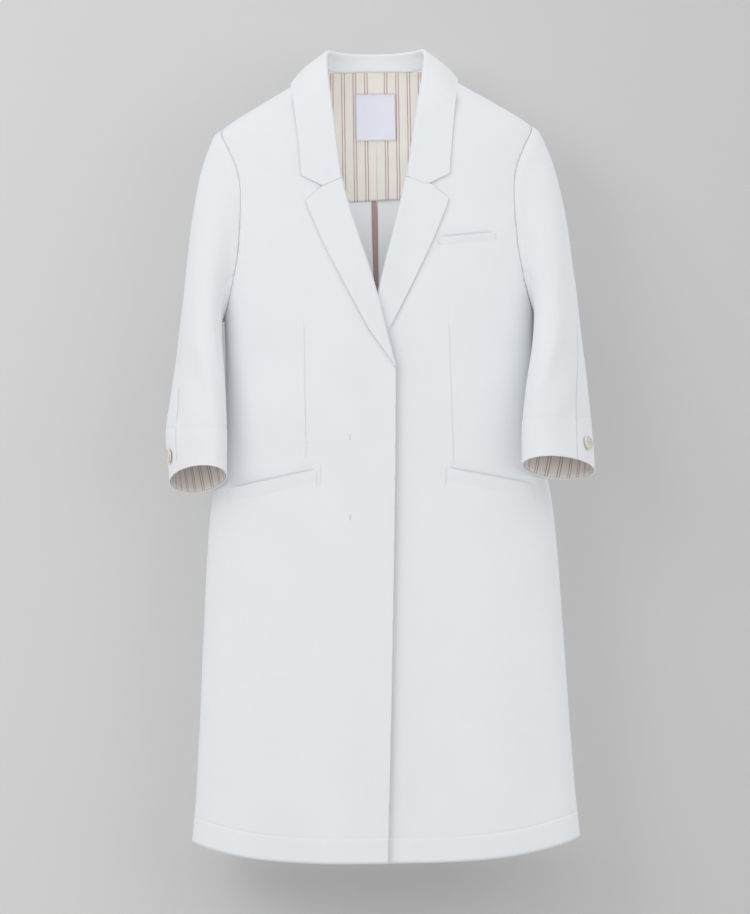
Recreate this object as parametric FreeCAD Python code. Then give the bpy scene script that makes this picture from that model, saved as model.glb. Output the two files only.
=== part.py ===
import FreeCAD, Part
import math
import os

# A women's three-quarter-sleeve laboratory coat, hanging upright and closed. Millimetres, +Z up.
# The front faces -Y and the wearer's right side is at -X. The origin is the centre of the neck
# opening, level with the back neck seam, where the hook of a hanger passes.

V = FreeCAD.Vector

# ---- driving dimensions ---------------------------------------------------------------------
HEM_DROP = 975.0            # back neck seam down to the hem at centre front
HEM_RISE = 29.0             # how much higher the hem is at the side seams
HEM_CURVE = 3.2             # exponent of the hem's curve
NECK_TOP = 8.0              # height of the shoulder seam at the neck
ROUNDNESS = 2.9             # superellipse power of the horizontal sections
CLOTH = 1.2                 # thickness of one made-up layer of coat cloth
THIN = 0.8                  # thickness of facings, linings and pocket bags
AIR = 0.4                   # clearance between layers that are sewn or lie together
OVERLAP = 4.0               # how far the two fronts part in depth where they overlap
EDGE_X = 19.8               # front edge of the overlapping front at the top
EDGE_LEAN = 18.2            # how far that edge leans in by the hem
EDGE_POWER = 1.3            # exponent of that lean
BREAK_Z = -350.0            # height where the lapels break
# roll line of each lapel: distance from centre on its own side, and height, from the neck down
ROLL = {-1: [(60.0, 26.0), (44.0, -121.0), (-20.0, -350.0)],
        1: [(57.0, 26.0), (37.0, -118.0), (-21.2, -350.0)]}
SKIRT_FOOT = 140.0          # x of the line that each front skirt opens about, at the hem
SKIRT_TOP = {-1: -365.0, 1: -505.0}     # height where that line leaves the front edge
GORGE_Z = -130.0            # inner end of the seam between collar and lapel
LAPEL_STOP = 9.0            # how far above the break the lapel comes to its point

ARM_CENTRE_Z = -186.0       # centre of the armhole oval
ARM_HALF_H = 118.0
ARM_HALF_D = 43.0
YOKE_Z = -155.0             # lower edge of the striped yoke lining
BUTTON_R = 9.0
BUTTON_T = 3.0
BUTTON_X = 0.0
BUTTON_Z = (-400.0, -500.0, -600.0, -700.0)
MOUTH_GAP = 9.0             # how far a pocket welt stands off at its top
POCKET_GAP = 12.0           # room inside a hip pocket bag

# profile tables: height, value
HALF_WIDTH = [(-980, 243), (-945, 240), (-869, 233), (-700, 223), (-598, 217), (-541, 212), (-500, 205),
              (-470, 199), (-430, 194), (-360, 191), (-300, 192), (-240, 196), (-160, 199), (-100, 198.5),
              (-78, 196.5), (-68, 191), (-58, 178), (-40, 148.5), (-14, 103.5), (8, 65)]
FRONT_DEPTH = [(-980, 74), (-700, 70), (-500, 68), (-365, 67), (-290, 66), (-200, 62), (-130, 57),
               (-68, 50),
               (-20, 36), (8, 20)]
BACK_DEPTH = [(-980, 74), (-600, 66), (-430, 60), (-290, 66), (-160, 69), (-68, 63), (-20, 52), (0, 46),
              (8, 42)]

# sleeve stations by height for the wearer's right and left: distance out, forward shift, long and
# short half axes of the oval section, and its turn about the vertical in degrees
SLEEVE_TABLE = {
    -1: [(-560, 226, -50, 56, 28, 28), (-500, 226, -46, 56, 28, 28), (-447, 227.5, -38, 58, 29, 30),
         (-396, 225, -27, 60, 27, 24), (-335, 222, -12, 62, 25, 13), (-284, 219, -4, 62, 24, 8)],
    1: [(-560, 218, -66, 57, 32, 42), (-490, 218, -62, 57, 32, 42), (-444, 217, -53, 58, 31, 38),
        (-396, 218, -43, 60, 29, 31), (-335, 220, -23, 62, 26, 18), (-284, 218, -9, 62, 25, 12)],
}
CUFF_Z = {-1: -499.0, 1: -493.0}
CUFF_TILT = 15.0            # how much lower the back of the cuff hangs than its centre
TUBE_TOP = -335.0           # where the sleeve head has become a full tube
FACING_TOP = {-1: -440.0, 1: -434.0}


def curve_value(table, z, column=1):
    """Monotone cubic through a table sorted by its first column."""
    n = len(table)
    if z <= table[0][0]:
        return table[0][column]
    if z >= table[-1][0]:
        return table[-1][column]
    slopes = []
    for i in range(n - 1):
        rise = table[i + 1][column] - table[i][column]
        slopes.append(rise / (table[i + 1][0] - table[i][0]))
    tangents = [slopes[0]]
    for i in range(1, n - 1):
        same_way = slopes[i - 1] * slopes[i] > 0
        tangents.append(2 * slopes[i - 1] * slopes[i] / (slopes[i - 1] + slopes[i]) if same_way else 0.0)
    tangents.append(slopes[-1])
    for i in range(n - 1):
        if z <= table[i + 1][0]:
            h = table[i + 1][0] - table[i][0]
            s = (z - table[i][0]) / h
            a = (1 + 2 * s) * (1 - s) ** 2 * table[i][column] + s * (1 - s) ** 2 * h * tangents[i]
            b = s * s * (3 - 2 * s) * table[i + 1][column] + s * s * (s - 1) * h * tangents[i + 1]
            return a + b


def ease(value, low, high):
    s = min(1.0, max(0.0, (value - low) / (high - low)))
    return s * s * (3 - 2 * s)


# ---- the torso surface ----------------------------------------------------------------------
def torso_raw(angle, z):
    """Angle 0 is centre front, 90 the +X side, 180 centre back."""
    s = math.sin(math.radians(angle))
    c = math.cos(math.radians(angle))
    size = (abs(s) ** ROUNDNESS + abs(c) ** ROUNDNESS) ** (-1 / ROUNDNESS)
    depth = curve_value(FRONT_DEPTH if c > 0 else BACK_DEPTH, z)
    return V(curve_value(HALF_WIDTH, z) * size * s, -depth * size * c, z)


def torso(angle, z, offset=0.0):
    step = 0.5
    across = torso_raw(angle + step, z) - torso_raw(angle - step, z)
    up = torso_raw(angle, z + step) - torso_raw(angle, z - step)
    normal = across.cross(up)
    normal.normalize()
    return torso_raw(angle, z) + normal * offset


def front_angle(x, z):
    q = min(0.999, abs(x) / curve_value(HALF_WIDTH, z)) ** ROUNDNESS
    return math.copysign(math.degrees(math.atan((q / (1 - q)) ** (1 / ROUNDNESS))), x)


def on_front(x, z, offset=0.0):
    return torso(front_angle(x, z), z, offset)


def hem_z(x):
    return -HEM_DROP + HEM_RISE * (abs(x) / 241.0) ** HEM_CURVE


def overlap_shift(x, z, side):
    """The right front (side -1) rides out over the left front (side 1), which sits back."""
    depth = OVERLAP * ease(-z, 140.0, 280.0)
    if side < 0:
        return depth * ease(x, -95.0, -42.0)
    return -depth * ease(-x, -62.0, -24.0)


def edge_x(z):
    s = max(0.0, (BREAK_Z - z) / (BREAK_Z + HEM_DROP))
    return EDGE_X - EDGE_LEAN * s ** EDGE_POWER


# ---- solids from two grids of points --------------------------------------------------------
def grid_face(points):
    surface = Part.BSplineSurface()
    surface.interpolate(points)
    return surface


def borders(surface):
    u0, u1, v0, v1 = surface.bounds()
    return [surface.uIso(u0), surface.uIso(u1), surface.vIso(v0), surface.vIso(v1)]


def thick_patch(outer, inner):
    a = grid_face(outer)
    b = grid_face(inner)
    faces = [a.toShape(), b.toShape()]
    for line_a, line_b in zip(borders(a), borders(b)):
        faces.append(line_a.makeRuledSurface(line_b).toShape())
    shell = Part.makeShell(faces)
    shell.sewShape()
    solid = Part.makeSolid(shell if shell.ShapeType == "Shell" else shell.Shells[0])
    if solid.Volume < 0:
        solid.reverse()
    return solid


def patch(place, rows, columns, outer, inner):
    """place(row, column, offset) gives a point; rows and columns are lists of values."""
    grids = []
    for offset in (outer, inner):
        grids.append([[place(r, c, offset) for c in columns] for r in rows])
    return thick_patch(*grids)


def steps(low, high, count):
    return [low + (high - low) * i / (count - 1) for i in range(count)]


def torso_rows(count_low=18):
    upper = [0.0, 0.008, 0.02, 0.034, 0.048, 0.062, 0.072, 0.082, 0.095, 0.12, 0.15, 0.19]
    return upper + steps(0.23, 1.0, count_low)


def front_base(side, outer, inner, start_x=-30.0):
    """A layer of one front, from past its front edge round to the side seam."""
    def place(v, u, offset):
        x_start = side * start_x
        z = NECK_TOP - 0.5 + (hem_z(x_start * (1 - u) + 220.0 * side * u) - NECK_TOP) * v
        first = front_angle(max(-60.0, min(60.0, x_start)), z)
        angle = first + (side * 89.75 - first) * u
        x = torso_raw(angle, z).x
        return torso(angle, z, offset + overlap_shift(x, z, side))
    return patch(place, torso_rows(), steps(0, 1, 15), outer, inner)


def plate_xz(points, low_y=-160.0, high_y=160.0):
    wire = Part.makePolygon([V(x, low_y, z) for x, z in points] + [V(points[0][0], low_y, points[0][1])])
    return Part.Face(wire).extrude(V(0, high_y - low_y, 0))


def armhole_oval(theta):
    """The armhole seen from the side: theta 0 is the shoulder tip, 90 the front, 180 the underarm."""
    s = math.sin(math.radians(theta))
    c = math.cos(math.radians(theta))
    size = (abs(s) ** 2.5 + abs(c) ** 2.5) ** -0.4
    return -ARM_HALF_D * size * s, ARM_CENTRE_Z + ARM_HALF_H * size * c


def armhole_cutter(side):
    points = [V(0, *armhole_oval(9.0 * i)) for i in range(40)]
    curve = Part.BSplineCurve()
    curve.interpolate(points, PeriodicFlag=True)
    face = Part.Face(Part.Wire(curve.toShape()))
    face.translate(V(side * 120.0, 0, 0))
    return face.extrude(V(side * 150.0, 0, 0))


def roll_x(side, z):
    """Distance of the roll line from centre on its own side (negative past the centre)."""
    neck, middle, low = ROLL[side]
    a, b = (neck, middle) if z > middle[1] else (middle, low)
    return a[0] + (b[0] - a[0]) * (z - a[1]) / (b[1] - a[1])


def front_outline(side, back_off=0.0):
    """Everything on this side of the roll line and front edge, seen from the front."""
    near = [(side * (roll_x(side, z) + back_off), z) for z in (30.0, ROLL[side][1][1], BREAK_Z)]
    low = [(-side * (edge_x(z) - back_off), z) for z in (BREAK_Z - 4.0, -500.0, -650.0, -800.0, -1000.0)]
    return near + low + [(side * 300.0, -1000.0), (side * 300.0, 30.0)]


def skirt_line(side, z):
    """x of the fold that the front skirt opens about."""
    s = (z - SKIRT_TOP[side]) / (-HEM_DROP - SKIRT_TOP[side])
    return side * (-EDGE_X + (SKIRT_FOOT + EDGE_X) * s)


def skirt_region(side, gap):
    top = SKIRT_TOP[side] + 60.0
    foot = -1020.0
    line = [(skirt_line(side, top) - side * gap, top), (skirt_line(side, foot) - side * gap, foot)]
    return plate_xz(line + [(-side * 120.0, foot), (-side * 120.0, top)])


def front_strip(side, width, top_z, low_z):
    """A strip along the front edge, seen from the front."""
    zs = [BREAK_Z - 6.0 - i * 60.0 for i in range(11)]
    zs = [z for z in zs if low_z < z < top_z]
    zs = [top_z] + zs + [low_z]
    near = [(-side * (edge_x(z) - 2.0), z) for z in zs]
    far = [(-side * (edge_x(z) - width), z) for z in reversed(zs)]
    return plate_xz(near + far)


# ---- pockets --------------------------------------------------------------------------------
HIP_IN_X = 76.0             # inner end of a hip pocket mouth
HIP_OUT_X = 190.0
HIP_IN_Z = -486.0           # top of the welt at its inner end
HIP_SLOPE = 0.165           # how much it drops per millimetre outwards
WELT_H = 23.0
BAG_LOW_Z = -745.0
BAG_RISE = 6.0              # how far a pocket bag reaches above its mouth
SLIT_H = 13.0
BREAST_IN_X = 72.0
BREAST_OUT_X = 146.0
BREAST_IN_Z = -206.0
BREAST_SLOPE = -0.075
BREAST_WELT_H = 13.0
BREAST_BAG_LOW_Z = -318.0


def mouth_z(kind, x):
    if kind == "hip":
        return HIP_IN_Z - HIP_SLOPE * (abs(x) - HIP_IN_X)
    return BREAST_IN_Z - BREAST_SLOPE * (abs(x) - BREAST_IN_X)


def front_patch(side, x_low, x_high, z_top, z_low, outer, inner, rows=6, columns=8):
    """A piece on the front between two x values; z_top, z_low and the offsets are functions."""
    def place(v, u, offset):
        x = side * (x_low + (x_high - x_low) * u)
        z = z_top(x) + (z_low(x) - z_top(x)) * v
        return on_front(x, z, offset(v) + overlap_shift(x, z, side))
    return patch(place, steps(0, 1, rows), steps(0, 1, columns), outer, inner)


def welt(side, kind, x_low, x_high, height, stand):
    def top(x):
        return mouth_z(kind, x)

    def low(x):
        return mouth_z(kind, x) - height

    def lean(v):
        return AIR + stand * (1 - v) ** 0.8

    return front_patch(side, x_low, x_high, top, low, lambda v: lean(v) + CLOTH, lean, rows=5)


def slit(side, kind, x_low, x_high, height):
    points = []
    for x in (x_low, x_high):
        points.append((side * x, mouth_z(kind, side * x) - 3.0))
    for x in (x_high, x_low):
        points.append((side * x, mouth_z(kind, side * x) - 3.0 - height))
    return plate_xz(points, -120.0, 0.0)


def pocket_bag(side, kind, x_low, x_high, low_z, room):
    """A bag behind the front: a block with its inside cut out, one thin wall in from each face."""
    skin = CLOTH + AIR

    def bag_block(wall, deep):
        return front_patch(side, x_low + wall, x_high - wall,
                           lambda x: mouth_z(kind, x) + BAG_RISE - wall, lambda x: low_z + wall,
                           lambda v: -skin - wall, lambda v: -skin - deep, rows=8)

    return bag_block(0.0, 2 * THIN + room).cut(bag_block(THIN, THIN + room))


# ---- collar and lapels ----------------------------------------------------------------------
# the fold of the collar, from centre back round to the gorge, for the +X side
FOLD = [(0, 45, 20), (26, 41.5, 21.5), (46, 29, 24.5), (58, 8, 26.5), (60, -16, 16), (57, -35, -14),
        (51, -51, -62), (47, -57, -100), (43, -60, -130)]
FOLD_SHIFT = 7.0            # how much nearer the centre the left fold ends
STAND_END = 3.7             # the stand ends at this point of the fold
LEAF_X = [(0, 0), (0.18, 48), (0.36, 92), (0.5, 107), (0.62, 104.5), (0.75, 99.5), (0.88, 95), (1.0, 93)]
LEAF_Z = [(0, -36), (0.18, -35), (0.36, -23), (0.5, -11), (0.62, -30), (0.75, -62), (0.88, -100),
          (1.0, -127)]


def fold_point(side, s):
    place = s * (len(FOLD) - 1)
    i = min(int(place), len(FOLD) - 2)
    f = place - i
    def at(k):
        if k < 0:
            return V(-FOLD[-k][0], FOLD[-k][1], FOLD[-k][2])
        if k >= len(FOLD):
            return V(*FOLD[-1]) * 2 - V(*FOLD[-2])
        return V(*FOLD[k])
    a, b, c, d = at(i - 1), at(i), at(i + 1), at(i + 2)
    bend = (a * 2 - b * 5 + c * 4 - d) * f ** 2 + (b * 3 - a - c * 3 + d) * f ** 3
    p = (b * 2 + (c - a) * f + bend) * 0.5
    shift = FOLD_SHIFT * ease(s, 0.5, 1.0) if side > 0 else 0.0
    return V(side * (p.x - shift), p.y, p.z)


def back_angle(x, z):
    return 180.0 - front_angle(x, z)


def leaf_point(side, s, lift):
    """Outer edge of the collar leaf, lying on the coat lifted by a gap."""
    x = curve_value(LEAF_X, s)
    z = curve_value(LEAF_Z, s)
    if s < 0.36:
        p = torso(back_angle(x, z), z, lift)
    elif s > 0.64:
        p = on_front(x, z, lift)
    else:
        back = torso(back_angle(92, -23), -23, lift).y
        fore = on_front(104, -35, lift).y
        p = V(x, back + (fore - back) * ease(s, 0.36, 0.64), z + lift * 0.6)
    return V(side * p.x, p.y, p.z)


def collar_layer(lift, thickness):
    """One layer of the collar leaf from the right gorge round the back to the left gorge."""
    def place(s, u, offset):
        side = 1 if s >= 0 else -1
        fold = fold_point(side, abs(s)) + V(0, 0, offset * 0.7)
        edge = leaf_point(side, abs(s), offset)
        mid = (fold + edge) * 0.5
        bulge = 3.5 * math.sin(math.pi * u)
        p = fold + (edge - fold) * u
        out = V(mid.x, mid.y * 0.8, 42.0)
        out.normalize()
        return p + out * bulge + V(0, 0, -9.0 * ease(abs(s), 0.93, 1.0) * math.sin(math.pi * u))
    return patch(place, steps(-1, 1, 33), steps(0, 1, 6), lift + thickness, lift)


def collar_stand():
    """The band from the neck seam up to the fold, round the back of the neck."""
    def place(s, v, offset):
        side = 1 if s >= 0 else -1
        top = fold_point(side, abs(s) * STAND_END / (len(FOLD) - 1))
        inward = V(top.x, top.y, 0)
        inward.normalize()
        low_z = 1.5 + 10.0 * ease(abs(s), 0.3, 0.8) - 20.0 * ease(abs(s), 0.8, 1.0)
        low = V(top.x * 1.04, top.y + 1.0 - 3.0 * ease(abs(s), 0.5, 1.0), low_z)
        p = low + (top - V(0, 0, 2.4) - low) * v
        return p - inward * (1.6 + 2.0 * ease(abs(s), 0.55, 1.0) - offset)
    return patch(place, steps(-1, 1, 19), steps(0, 1, 4), 0.0, -CLOTH)


# outer edge of a lapel from the gorge down to the break: distance from centre on its own side, height
LAPEL_OUTLINE = [(67, -140), (88, -158), (84, -170), (68.9, -206), (53.3, -238), (42.4, -260),
                 (22.2, -298.7), (-1.0, -332.0)]
# the foot of the left lapel, which the right front covers
LAPEL_TAIL = [(-30.0, -262.0), (12.0, -266.0), (34.0, -330.0), (34.0, -380.0), (-30.0, -380.0)]


def lapel_outline(side):
    top = (roll_x(side, GORGE_Z), GORGE_Z)
    low = (roll_x(side, BREAK_Z + LAPEL_STOP) + AIR, BREAK_Z + LAPEL_STOP)
    return [(side * x, z) for x, z in [top] + LAPEL_OUTLINE + [low]]


def lapel_layer(side, lift, thickness):
    """A layer of the lapel, lying on the front; the roll line is its inner edge."""
    def place(v, u, offset):
        z = -125.0 + (-358.0 + 125.0) * v
        near = roll_x(side, z) + 2 * AIR
        x = near + (96.0 - near) * u
        rise = 1.6 * math.sin(math.pi * min(1.0, u * 1.2))
        return on_front(side * x, z, offset + rise + overlap_shift(side * x, z, side))
    body = patch(place, steps(0, 1, 12), steps(0, 1, 8), lift + thickness, lift)
    trimmed = body.common(plate_xz(lapel_outline(side)))
    return trimmed.cut(plate_xz(LAPEL_TAIL)) if side > 0 else trimmed


# ---- sleeves --------------------------------------------------------------------------------
def tube_point(side, theta, z):
    """The sleeve's oval section: theta 0 faces out, 90 forward, 180 the torso, 270 back."""
    out, forward, long_half, short_half, turn = [curve_value(SLEEVE_TABLE[side], z, k) for k in range(1, 6)]
    c = short_half * math.cos(math.radians(theta))
    s = long_half * math.sin(math.radians(theta))
    ct = math.cos(math.radians(turn))
    st = math.sin(math.radians(turn))
    return V(side * (out + c * ct - s * st), forward - c * st - s * ct, z)


def armhole_point(side, theta, gap=0.6):
    y, z = armhole_oval(theta)
    depth = curve_value(FRONT_DEPTH if y < 0 else BACK_DEPTH, z)
    x = curve_value(HALF_WIDTH, z) * (1 - (abs(y) / depth) ** ROUNDNESS) ** (1 / ROUNDNESS)
    return V(side * (x + gap), y, z)


def cuff_height(side, theta):
    return CUFF_Z[side] + CUFF_TILT * math.sin(math.radians(theta))


HEAD_PART = 0.42            # share of the sleeve's length coordinate that is the sleeve head


def sleeve_raw(side, theta, v):
    top = armhole_point(side, theta)
    start = tube_point(side, theta, TUBE_TOP)
    if v >= HEAD_PART:
        s = (v - HEAD_PART) / (1 - HEAD_PART)
        return tube_point(side, theta, TUBE_TOP + (cuff_height(side, theta) - TUBE_TOP) * s)
    reach = (start - top).Length
    down = start - tube_point(side, theta, TUBE_TOP + 1.0)
    down.normalize()
    high = 0.5 + 0.5 * math.cos(math.radians(theta))
    out = V(side, 0, -0.55 * high)
    out.normalize()
    b = top + out * (0.10 * reach)
    c = start - down * (0.62 * reach)
    s = v / HEAD_PART
    return top * (1 - s) ** 3 + b * (3 * s * (1 - s) ** 2) + c * (3 * s * s * (1 - s)) + start * s ** 3


def sleeve(side, theta, v, offset):
    across = sleeve_raw(side, theta + 1.0, v) - sleeve_raw(side, theta - 1.0, v)
    lo = max(0.0, v - 0.01)
    hi = min(1.0, v + 0.01)
    down = sleeve_raw(side, theta, hi) - sleeve_raw(side, theta, lo)
    normal = across.cross(down) * side
    normal.normalize()
    return sleeve_raw(side, theta, v) + normal * offset


def sleeve_panel(side, start, end, columns):
    def place(v, theta, offset):
        return sleeve(side, theta, v, offset)

    rows = steps(0.0, HEAD_PART, 10) + steps(HEAD_PART, 1.0, 9)[1:]
    return patch(place, rows, steps(start, end, columns), 0.0, -CLOTH)


def cuff_facing(side):
    top = (FACING_TOP[side] - TUBE_TOP) / (CUFF_Z[side] - TUBE_TOP)
    def place(v, theta, offset):
        return sleeve(side, theta, v, offset)

    rows = steps(HEAD_PART + (1 - HEAD_PART) * top, 0.992, 4)
    return patch(place, rows, steps(182.0, 538.0, 33), -CLOTH - 1.5 * AIR, -CLOTH - 1.5 * AIR - THIN)


# ---- buttons --------------------------------------------------------------------------------
def button(centre, normal, radius=BUTTON_R, thickness=BUTTON_T):
    disc = Part.makeCylinder(radius, thickness)
    edges = [e for e in disc.Edges if e.Curve.TypeId == "Part::GeomCircle"]
    disc = disc.makeFillet(0.9, edges)
    well = Part.makeCylinder(radius - 2.6, 0.7, V(0, 0, thickness - 0.7))
    disc = disc.cut(well)
    for i in range(4):
        a = math.radians(45 + 90 * i)
        hole = Part.makeCylinder(0.9, thickness * 3, V(1.9 * math.cos(a), 1.9 * math.sin(a), -thickness))
        disc = disc.cut(hole)
    disc.Placement = FreeCAD.Placement(centre, FreeCAD.Rotation(V(0, 0, 1), normal))
    return disc


def shank(centre, normal, length):
    thread = Part.makeCylinder(0.8, length)
    thread.Placement = FreeCAD.Placement(centre, FreeCAD.Rotation(V(0, 0, 1), normal))
    return thread


CUFF_BUTTON_THETA = {-1: -20.0, 1: -21.5}
CUFF_BUTTON_Z = {-1: -470.0, 1: -461.5}


def cuff_button_place(side):
    theta = CUFF_BUTTON_THETA[side]
    s = (CUFF_BUTTON_Z[side] - TUBE_TOP) / (cuff_height(side, theta) - TUBE_TOP)
    v = HEAD_PART + (1 - HEAD_PART) * s
    foot = sleeve(side, theta, v, 0.1)
    normal = sleeve(side, theta, v, 1.0) - sleeve(side, theta, v, 0.0)
    normal.normalize()
    return foot, normal


def fly_button_place(z):
    foot = on_front(BUTTON_X, z, -OVERLAP + 0.15)
    return foot, V(0, -1, 0)


# ---- assembly -------------------------------------------------------------------------------
def union(solids):
    return Part.makeCompound(solids)


def make_fronts():
    parts = {}
    for side, name in ((-1, "right"), (1, "left")):
        base = front_base(side, 0.0, -CLOTH).common(plate_xz(front_outline(side)))
        base = base.cut(armhole_cutter(side))
        base = base.cut(slit(side, "hip", HIP_IN_X + 3.0, HIP_OUT_X - 3.0, SLIT_H))
        if side > 0:
            base = base.cut(slit(side, "breast", BREAST_IN_X + 2.0, BREAST_OUT_X - 2.0, 9.0))
        parts["front_" + name] = base.cut(skirt_region(side, -0.3))
        parts["skirt_" + name] = base.common(skirt_region(side, 0.3))
        skin = CLOTH + AIR
        layer = front_base(side, -skin, -skin - THIN)
        strip = layer.common(front_strip(side, 62.0, BREAK_Z - 6.0, -980.0))
        parts["facing_" + name] = strip.common(skirt_region(side, 0.3))
        neck = layer.common(plate_xz(front_outline(side, 1.0)))
        band = ((12.0, -20.0), (BREAK_Z, -20.0), (BREAK_Z, 60.0), (12.0, 45.0))
        neck = neck.common(plate_xz([(side * (roll_x(side, z) + width), z) for z, width in band]))
        parts["neck_facing_" + name] = neck.cut(skirt_region(side, -0.3))
        if side < 0:
            skin += THIN + AIR
            fly = front_base(side, -skin, -skin - THIN)
            fly = fly.common(front_strip(side, 50.0, BUTTON_Z[0] + 30.0, BUTTON_Z[-1] - 50.0))
            for z in BUTTON_Z:
                corner = V(BUTTON_X - BUTTON_R - 1.0, -150.0, z - 0.4)
                fly = fly.cut(Part.makeBox(2 * BUTTON_R + 2.0, 200.0, 0.8, corner))
            parts["fly_placket_upper"] = fly.cut(skirt_region(side, -0.3))
            parts["fly_placket_lower"] = fly.common(skirt_region(side, 0.3))
    return parts


def make_back():
    parts = {}
    for side, name in ((-1, "right"), (1, "left")):
        def place(v, u, offset):
            angle = side * (90.25 + 89.7 * u)
            near = abs(torso_raw(angle, -20.0).x) / 110.0
            top = min(NECK_TOP - 0.5, 7.5 * near ** 2)
            z = top + (hem_z(220.0 * math.cos(math.radians(90 * u))) - top) * v
            return torso(angle, z, offset)
        base = patch(place, torso_rows(), steps(0, 1, 15), 0.0, -CLOTH)
        parts["back_" + name] = base.cut(armhole_cutter(side))
    return parts


def make_back_inside():
    def lining(v, angle, offset):
        top = -4.0 + 4.0 * (abs(angle - 180.0) / 60.0)
        return torso(angle, top + (YOKE_Z - top) * v, offset)
    skin = CLOTH + 1.6
    yoke = patch(lining, steps(0, 0.3, 12) + steps(0.38, 1, 7), steps(130.0, 230.0, 21), -skin, -skin - THIN)

    def tape(v, x, offset):
        return torso(back_angle(x, -200.0 - 700.0 * v), YOKE_Z - 2.0 - 790.0 * v, offset)

    def tag(v, x, offset):
        return torso(back_angle(x, -22.0 - 58.0 * v), -22.0 - 58.0 * v, offset)

    binding = patch(tape, steps(0, 1, 20), (-3.0, -1.0, 1.0, 3.0), -skin, -skin - 1.2)
    inner = skin + THIN + AIR
    label = patch(tag, steps(0, 1, 5), (-25.0, -12.0, 0.0, 12.0, 25.0), -inner, -inner - 0.6)
    return {"yoke_lining": yoke, "centre_back_binding": binding, "neck_label": label}


def make_pockets():
    parts = {}
    for side, name in ((-1, "right"), (1, "left")):
        parts["hip_welt_" + name] = welt(side, "hip", HIP_IN_X, HIP_OUT_X, WELT_H, MOUTH_GAP)
        bag = pocket_bag(side, "hip", HIP_IN_X + 14.0, HIP_OUT_X + 8.0, BAG_LOW_Z, POCKET_GAP)
        mouth = slit(side, "hip", HIP_IN_X + 3.0, HIP_OUT_X - 3.0, SLIT_H)
        parts["hip_pocket_bag_" + name] = bag.cut(mouth)
    parts["breast_welt"] = welt(1, "breast", BREAST_IN_X, BREAST_OUT_X, BREAST_WELT_H, 6.0)
    bag = pocket_bag(1, "breast", BREAST_IN_X - 2.0, BREAST_OUT_X - 1.0, BREAST_BAG_LOW_Z, POCKET_GAP)
    parts["breast_pocket_bag"] = bag.cut(slit(1, "breast", BREAST_IN_X + 2.0, BREAST_OUT_X - 2.0, 9.0))
    return parts


def make_collar():
    parts = {"under_collar": collar_layer(1.6, CLOTH), "top_collar": collar_layer(1.6 + CLOTH + AIR, CLOTH)}
    parts["collar_stand"] = collar_stand()
    for side, name in ((-1, "right"), (1, "left")):
        parts["lapel_under_" + name] = lapel_layer(side, AIR, THIN)
        parts["lapel_" + name] = lapel_layer(side, AIR + THIN + AIR, CLOTH)
    return parts


def make_sleeves():
    parts = {}
    for side, name in ((-1, "right"), (1, "left")):
        parts["top_sleeve_" + name] = sleeve_panel(side, -119.6, 119.6, 25)
        parts["under_sleeve_" + name] = sleeve_panel(side, 120.0, 240.0, 15)
        parts["cuff_facing_" + name] = cuff_facing(side)
        foot, normal = cuff_button_place(side)
        parts["cuff_button_" + name] = button(foot + normal * 1.2, normal)
        parts["cuff_button_thread_" + name] = shank(foot, normal, 1.1)
    return parts


def make_fly_buttons():
    parts = {}
    for name, heights in (("upper", BUTTON_Z[:2]), ("lower", BUTTON_Z[2:])):
        places = [fly_button_place(z) for z in heights]
        discs = [button(foot + normal * 1.3, normal, BUTTON_R, 2.0) for foot, normal in places]
        parts["fly_buttons_" + name] = union(discs)
        parts["fly_button_threads_" + name] = union([shank(foot, normal, 1.2) for foot, normal in places])
    return parts


def main():
    os.makedirs("parts", exist_ok=True)
    parts = {}
    for make in (make_fronts, make_back, make_back_inside, make_pockets, make_collar, make_sleeves,
                 make_fly_buttons):
        parts.update(make())
    for name, shape in parts.items():
        box = shape.BoundBox
        print(f"{name:28s} solids {len(shape.Solids)} valid {shape.isValid()} volume {shape.Volume:10.1f} "
              f"x {box.XMin:7.1f} {box.XMax:7.1f} y {box.YMin:7.1f} {box.YMax:7.1f} "
              f"z {box.ZMin:7.1f} {box.ZMax:7.1f}")
        shape.exportStep("parts/" + name + ".step")


main()
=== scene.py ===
import math

import bmesh
import bpy
import numpy as np
from mathutils import Matrix, Vector


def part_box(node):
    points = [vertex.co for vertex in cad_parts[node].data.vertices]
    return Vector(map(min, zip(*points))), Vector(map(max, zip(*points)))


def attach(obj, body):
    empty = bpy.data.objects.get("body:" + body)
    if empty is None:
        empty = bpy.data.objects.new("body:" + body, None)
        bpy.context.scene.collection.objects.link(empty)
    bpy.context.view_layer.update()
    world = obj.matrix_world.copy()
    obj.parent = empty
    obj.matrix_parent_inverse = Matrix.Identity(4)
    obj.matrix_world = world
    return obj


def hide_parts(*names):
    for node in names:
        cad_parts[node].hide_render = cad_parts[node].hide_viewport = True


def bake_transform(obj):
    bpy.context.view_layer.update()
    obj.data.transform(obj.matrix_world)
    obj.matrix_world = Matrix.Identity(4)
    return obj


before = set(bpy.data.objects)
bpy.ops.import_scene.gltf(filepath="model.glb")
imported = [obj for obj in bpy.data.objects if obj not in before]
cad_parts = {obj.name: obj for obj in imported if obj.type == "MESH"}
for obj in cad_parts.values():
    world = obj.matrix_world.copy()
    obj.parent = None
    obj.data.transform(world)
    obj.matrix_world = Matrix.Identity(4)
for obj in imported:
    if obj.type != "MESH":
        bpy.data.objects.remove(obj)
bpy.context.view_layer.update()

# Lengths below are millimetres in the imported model's frame, and UNIT turns them into metres.
HEM_DROP = 975.0
UNIT = -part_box("back_right")[0].z / HEM_DROP

# ---- the coat's own dimensions, as in the CAD -------------------------------------------------
HEM_RISE, HEM_CURVE = 29.0, 3.2
NECK_TOP = 7.5
ROUNDNESS = 2.9
CLOTH = 1.2
OVERLAP = 4.0
EDGE_X, EDGE_LEAN, EDGE_POWER = 19.8, 18.2, 1.3
BREAK_Z = -364.0
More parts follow.
